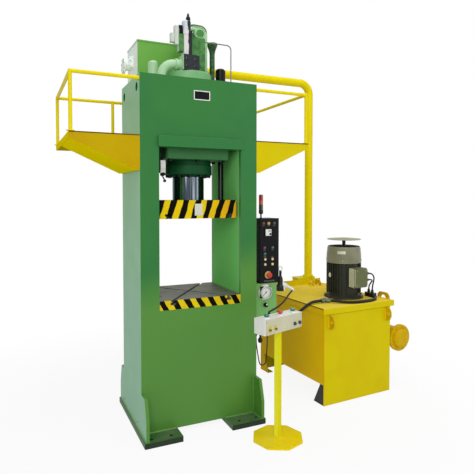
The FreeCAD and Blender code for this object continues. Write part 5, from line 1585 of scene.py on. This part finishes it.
    def nuts(self) -> None:
        """Gland nuts where conduits and leads enter."""
        bright, dark = Stock(), Stock()
        bright.gland(PACK.point(*GLAND_IN, GLAND_Z), PACK.way(-1, 0), LID_GLAND)
        bright.gland(PACK.ray(GLAND_OUT, GLAND_WAY, 0.030, GLAND_Z), PACK.way(*GLAND_WAY), LID_GLAND)
        dark.gland(PACK.point(*BLOCK_IN, BLOCK_Z), PACK.way(*BLOCK_WAY), BLOCK_GLAND, 0)
        for z in LEAD_HEIGHTS:
            dark.gland(PACK.point(*LEAD_OUT, z), PACK.way(1, 0), LEAD_GLAND)
        for b in LEAD_ROWS:
            dark.gland(PACK.point(LEAD_A, b, LEAD_TOP), UP, LEAD_GLAND)
        self.keep(bright, "conduit_nuts", FITTING)
        self.keep(dark, "lead_nuts", BLACK)

    def screws(self) -> None:
        """Screws of the terminal box lid and of the cowl's ears."""
        screws = Stock()
        for a, z in product(*self.box_screws):
            screws.screw(PACK.point(MOTOR_AB[0] + a, self.box_face, z), PACK.way(0, -1), 0.0055)
        for way in circle(4, 45.0):
            screws.screw(PACK.ray(MOTOR_AB, way, *self.ear), PACK.way(*way), 0.006)
        self.keep(screws, "motor_screws", ZINC)

    def tags(self) -> None:
        """Blank plate bent round the cowl and a small oval one on the fins."""
        tags = Stock()
        for degrees, z, r, half, corner in ((221.0, 1.345, self.cowl_r, (0.043, 0.014), 0.003),
                                            (178.0, 1.115, 0.1728, (0.018, 0.024), 0.0175)):
            out = circle(1, degrees)[0]
            tags.plate(PACK.ray(MOTOR_AB, out, r, z), PACK.way(-out[1], out[0]), UP, half, 0.001, corner, r)
        self.keep(tags, "motor_tags", TAG)

    def guard(self) -> None:
        """Wire guard over the fan: rings and spokes in the cowl's sunk top."""
        guard = Stock()
        wire = self.wire
        start, length = self.spoke
        ring_z, spoke_z = self.guard_z
        section = circle(8)
        for r in self.rings:
            guard.turned(PACK.point(*MOTOR_AB, ring_z), UP,
                         [(r + wire * c, wire * s) for c, s in section + section[:1]], 56)
        for way in circle(8, 22.5):
            guard.turned(PACK.ray(MOTOR_AB, way, start, spoke_z), PACK.way(*way),
                         [(0.0, 0.0), (wire, 0.0), (wire, length), (0.0, length)], 10)
        self.keep(guard, "fan_guard", MOTOR)


@dataclass
class Cables(Assembly):
    """All cables and conduits, each held at both ends.

    Attributes:
        cable, conduit, lead, hose: their radii.
    """

    cable: float = 0.008
    conduit: float = 0.014
    lead: float = 0.007
    hose: float = 0.005

    def trim(self) -> None:
        """Lays each one on its route, whose points are listed."""
        aim = unit(NIPPLE_WAY)
        a, b, z = BOX_OUTLET
        left, right = HOSE_ENDS
        x, y, height = COLUMN_OUTLET
        self.lay("pedestal_lead", "pedestal_cable", self.cable, [
            PEDESTAL.point(a, b, z), PEDESTAL.point(a, b + 0.110, z), (0.600, -0.500, 0.968),
            (0.703, -0.432, 0.992), (0.790, -0.340, 1.008), (0.875, -0.250, 1.023),
            tuple(np.array(NIPPLE_END) + aim * 0.030)])
        self.lay("lid_conduit", "power_conduit", self.conduit, [
            (x, y, height), (0.880, y, height), (0.955, -0.136, 0.770), (1.012, -0.180, 0.815),
            (1.064, -0.206, 0.868), (1.126, -0.210, 0.906), PACK.point(0.066, GLAND_IN[1], GLAND_Z),
            PACK.point(*GLAND_IN, GLAND_Z)])
        self.lay("foot_conduit", "motor_conduit", self.conduit, [
            *(PACK.ray(GLAND_OUT, GLAND_WAY, reach, GLAND_Z) for reach in (0.030, 0.090)),
            PACK.point(0.310, 0.092, BLOCK_Z + 0.002),
            *(PACK.point(*spot, BLOCK_Z) for spot in ((0.400, 0.042), (0.520, 0.030), (0.640, 0.046))),
            PACK.ray(BLOCK_IN, BLOCK_WAY, 0.082, BLOCK_Z), PACK.point(*BLOCK_IN, BLOCK_Z)])
        for name, start, row, bend in (
                ("upper_lead", LEAD_HEIGHTS[0], LEAD_ROWS[0],
                 ((0.714, 0.160, 1.138), (0.760, 0.168, 1.092), (0.770, 0.190, 1.035))),
                ("lower_lead", LEAD_HEIGHTS[1], LEAD_ROWS[1],
                 ((0.710, 0.160, 1.075), (0.752, 0.186, 1.052), (0.768, 0.232, 1.018)))):
            self.lay(name, "motor_leads", self.lead, [
                PACK.point(*LEAD_OUT, start), *(PACK.point(*spot) for spot in bend),
                PACK.point(LEAD_A, row, 0.985), PACK.point(LEAD_A, row, LEAD_TOP)])
        self.lay("hanging_loop", "loop_hose", self.hose, [
            (left, HOSE_Y, HOSE_Z), (left, HOSE_Y, 0.588), (0.602, -0.142, 0.512), (0.614, -0.144, 0.438),
            (0.627, -0.146, 0.368), (0.685, -0.148, 0.368), (0.694, -0.146, 0.438), (0.702, -0.144, 0.512),
            (right, HOSE_Y, 0.588), (right, HOSE_Y, HOSE_Z)])

    def lay(self, name: str, node: str, radius: float, points: list[Point]) -> None:
        """Makes one round cable through its route's points and hides the solid that it stands for.

        Args:
            name: piece name.
            node: the solid that it stands for.
            radius: half its thickness, metres.
            points: the route's points, metres.
        """
        curve = bpy.data.curves.new(name, "CURVE")
        curve.dimensions = "3D"
        curve.bevel_depth = radius
        curve.bevel_resolution = 5
        curve.resolution_u = 10
        curve.use_fill_caps = True
        spline = curve.splines.new("NURBS")
        spline.points.add(len(points) - 1)
        for spot, point in zip(spline.points, points):
            spot.co = (*point, 1.0)
        spline.order_u = 3
        spline.use_endpoint_u = True
        curve.materials.append(self.shop.material(RUBBER))
        piece = bpy.data.objects.new(name, curve)
        bpy.context.scene.collection.objects.link(piece)
        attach(piece, Body.FRAME.value)
        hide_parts(node)
        LOG.info("cable %s", name)

    @staticmethod
    def length(points: list[Point]) -> float:
        """Measures a route as the curve draws it: parabolas between the middles of its legs.

        Args:
            points: the route's points, metres.
        Returns:
            The length, metres.
        """
        line = np.array(points, float)
        ends = np.vstack([line[:1], 0.5 * (line[1:-2] + line[2:-1]), line[-1:]])
        t = np.linspace(0, 1, 40)[:, None, None]
        path = (1 - t) ** 2 * ends[:-1] + 2 * t * (1 - t) * line[1:-1] + t ** 2 * ends[1:]
        return float(np.linalg.norm(np.diff(path, axis=0), axis=2).sum())


# ---------------------------------------------------------------- stage


@dataclass(frozen=True)
class Lamp:
    """A square area lamp.

    Attributes:
        name: its name.
        spot: where it hangs.
        aim: the point that it looks at.
        size: its side, metres.
        power: watts.
    """

    name: str
    spot: Point
    aim: Point
    size: float
    power: float


@dataclass
class Studio:
    """Floor, lamps, background and camera.

    Attributes:
        lamps: the area lamps.
        sky: strength of the soft light from all round.
        floor_white: how far the near floor leans to plain white.
        floor_side: half the floor's side.
        eye: where the camera stands.
        tilt: how far it looks down, degrees.
        heading: its turn about the vertical, degrees.
        focal: focal length, millimetres.
        shift: how far its view is shifted up, in widths of the picture.
    """

    lamps: tuple = (Lamp("key", (-2.9, -7.0, 4.8), (0.2, 0.0, 1.3), 4.0, 214.0),
                    Lamp("fill", (5.5, -5.0, 3.2), (0.6, 0.0, 1.2), 4.0, 62.0),
                    Lamp("top", (0.3, -0.8, 7.5), (0.3, 0.0, 1.0), 5.0, 155.0))
    sky: float = 0.42
    floor_white: float = 0.90
    floor_side: float = 30.0
    eye: Point = (-1.3878, -4.0086, 1.8870)
    tilt: float = 1.82
    heading: float = -24.83
    focal: float = 36.86
    shift: float = -0.0504

    def build(self) -> None:
        """Sets the stage."""
        self.floor()
        for lamp in self.lamps:
            self.light(lamp)
        self.background()
        self.camera()

    def floor(self) -> None:
        """Pale floor under everything, white far from the object, that keeps the object's shadow."""
        mesh = bpy.data.meshes.new("studio_floor")
        corners = [(c * self.floor_side, s * self.floor_side, -0.001)
                   for c, s in ((-1, -1), (1, -1), (1, 1), (-1, 1))]
        mesh.from_pydata(corners, [], [(0, 1, 2, 3)])
        graph = Graph("floor_pale")
        graph.set("Base Color", (0.86, 0.86, 0.86, 1))
        graph.set("Roughness", 0.9)
        graph.set("Specular IOR Level", 0.0)
        white = graph.tree.nodes.new("ShaderNodeEmission")
        white.inputs["Color"].default_value = (1, 1, 1, 1)
        path = graph.tree.nodes.new("ShaderNodeLightPath")
        x, y, _ = graph.axes()
        far = graph.ramp(graph.radius(x, y), 1.4, 3.6)
        far = graph.math("MULTIPLY_ADD", far, 1.0 - self.floor_white, self.floor_white)
        seen = graph.math("MAXIMUM", path.outputs["Is Camera Ray"], path.outputs["Is Glossy Ray"])
        mix = graph.tree.nodes.new("ShaderNodeMixShader")
        graph.link(graph.times(seen, far), mix.inputs[0])
        graph.link(graph.shader.outputs[0], mix.inputs[1])
        graph.link(white.outputs[0], mix.inputs[2])
        graph.link(mix.outputs[0], graph.out.inputs[0])
        mesh.materials.append(graph.material)
        plane = bpy.data.objects.new("studio_floor", mesh)
        bpy.context.scene.collection.objects.link(plane)

    def light(self, lamp: Lamp) -> None:
        """Hangs one lamp.

        Args:
            lamp: its facts.
        """
        data = bpy.data.lights.new(lamp.name, "AREA")
        data.shape = "SQUARE"
        data.size = lamp.size
        data.energy = lamp.power
        made = bpy.data.objects.new(lamp.name, data)
        made.location = lamp.spot
        made.rotation_euler = (Vector(lamp.aim) - Vector(lamp.spot)).to_track_quat("-Z", "Y").to_euler()
        bpy.context.scene.collection.objects.link(made)

    def background(self) -> None:
        """White background for the camera and for reflections, soft light for the rest."""
        world = bpy.data.worlds.new("studio_sky")
        bpy.context.scene.world = world
        world.use_nodes = True
        tree = world.node_tree
        tree.nodes.clear()
        out = tree.nodes.new("ShaderNodeOutputWorld")
        path = tree.nodes.new("ShaderNodeLightPath")
        soft = tree.nodes.new("ShaderNodeBackground")
        soft.inputs[0].default_value = (0.95, 0.97, 1.0, 1)
        soft.inputs[1].default_value = self.sky
        white = tree.nodes.new("ShaderNodeBackground")
        white.inputs[0].default_value = (1, 1, 1, 1)
        white.inputs[1].default_value = 1.0
        seen = path.outputs["Is Camera Ray"]
        for other in ("Is Transmission Ray", "Is Glossy Ray"):
            either = tree.nodes.new("ShaderNodeMath")
            either.operation = "MAXIMUM"
            tree.links.new(seen, either.inputs[0])
            tree.links.new(path.outputs[other], either.inputs[1])
            seen = either.outputs[0]
        mix = tree.nodes.new("ShaderNodeMixShader")
        tree.links.new(seen, mix.inputs[0])
        tree.links.new(soft.outputs[0], mix.inputs[1])
        tree.links.new(white.outputs[0], mix.inputs[2])
        tree.links.new(mix.outputs[0], out.inputs[0])

    def camera(self) -> None:
        """Camera where the photograph was taken from, for a square frame."""
        data = bpy.data.cameras.new("photo_camera")
        data.sensor_fit = "HORIZONTAL"
        data.sensor_width = 36.0
        data.lens = self.focal
        data.shift_y = self.shift
        data.clip_end = 60.0
        camera = bpy.data.objects.new("photo_camera", data)
        camera.location = self.eye
        camera.rotation_euler = (math.radians(90 - self.tilt), 0.0, math.radians(self.heading))
        bpy.context.scene.collection.objects.link(camera)
        bpy.context.scene.camera = camera


def main() -> None:
    """Builds the whole scene."""
    bpy.context.scene.view_settings.view_transform = "Standard"
    shop = PaintShop()
    for part in (PressFrame, PressSlide, CrownHydraulics, Platform, OperatorPanel, PedestalStation, PowerPack,
                 Cables):
        part(shop).build()
    Studio().build()


if __name__ == "__main__":
    main()
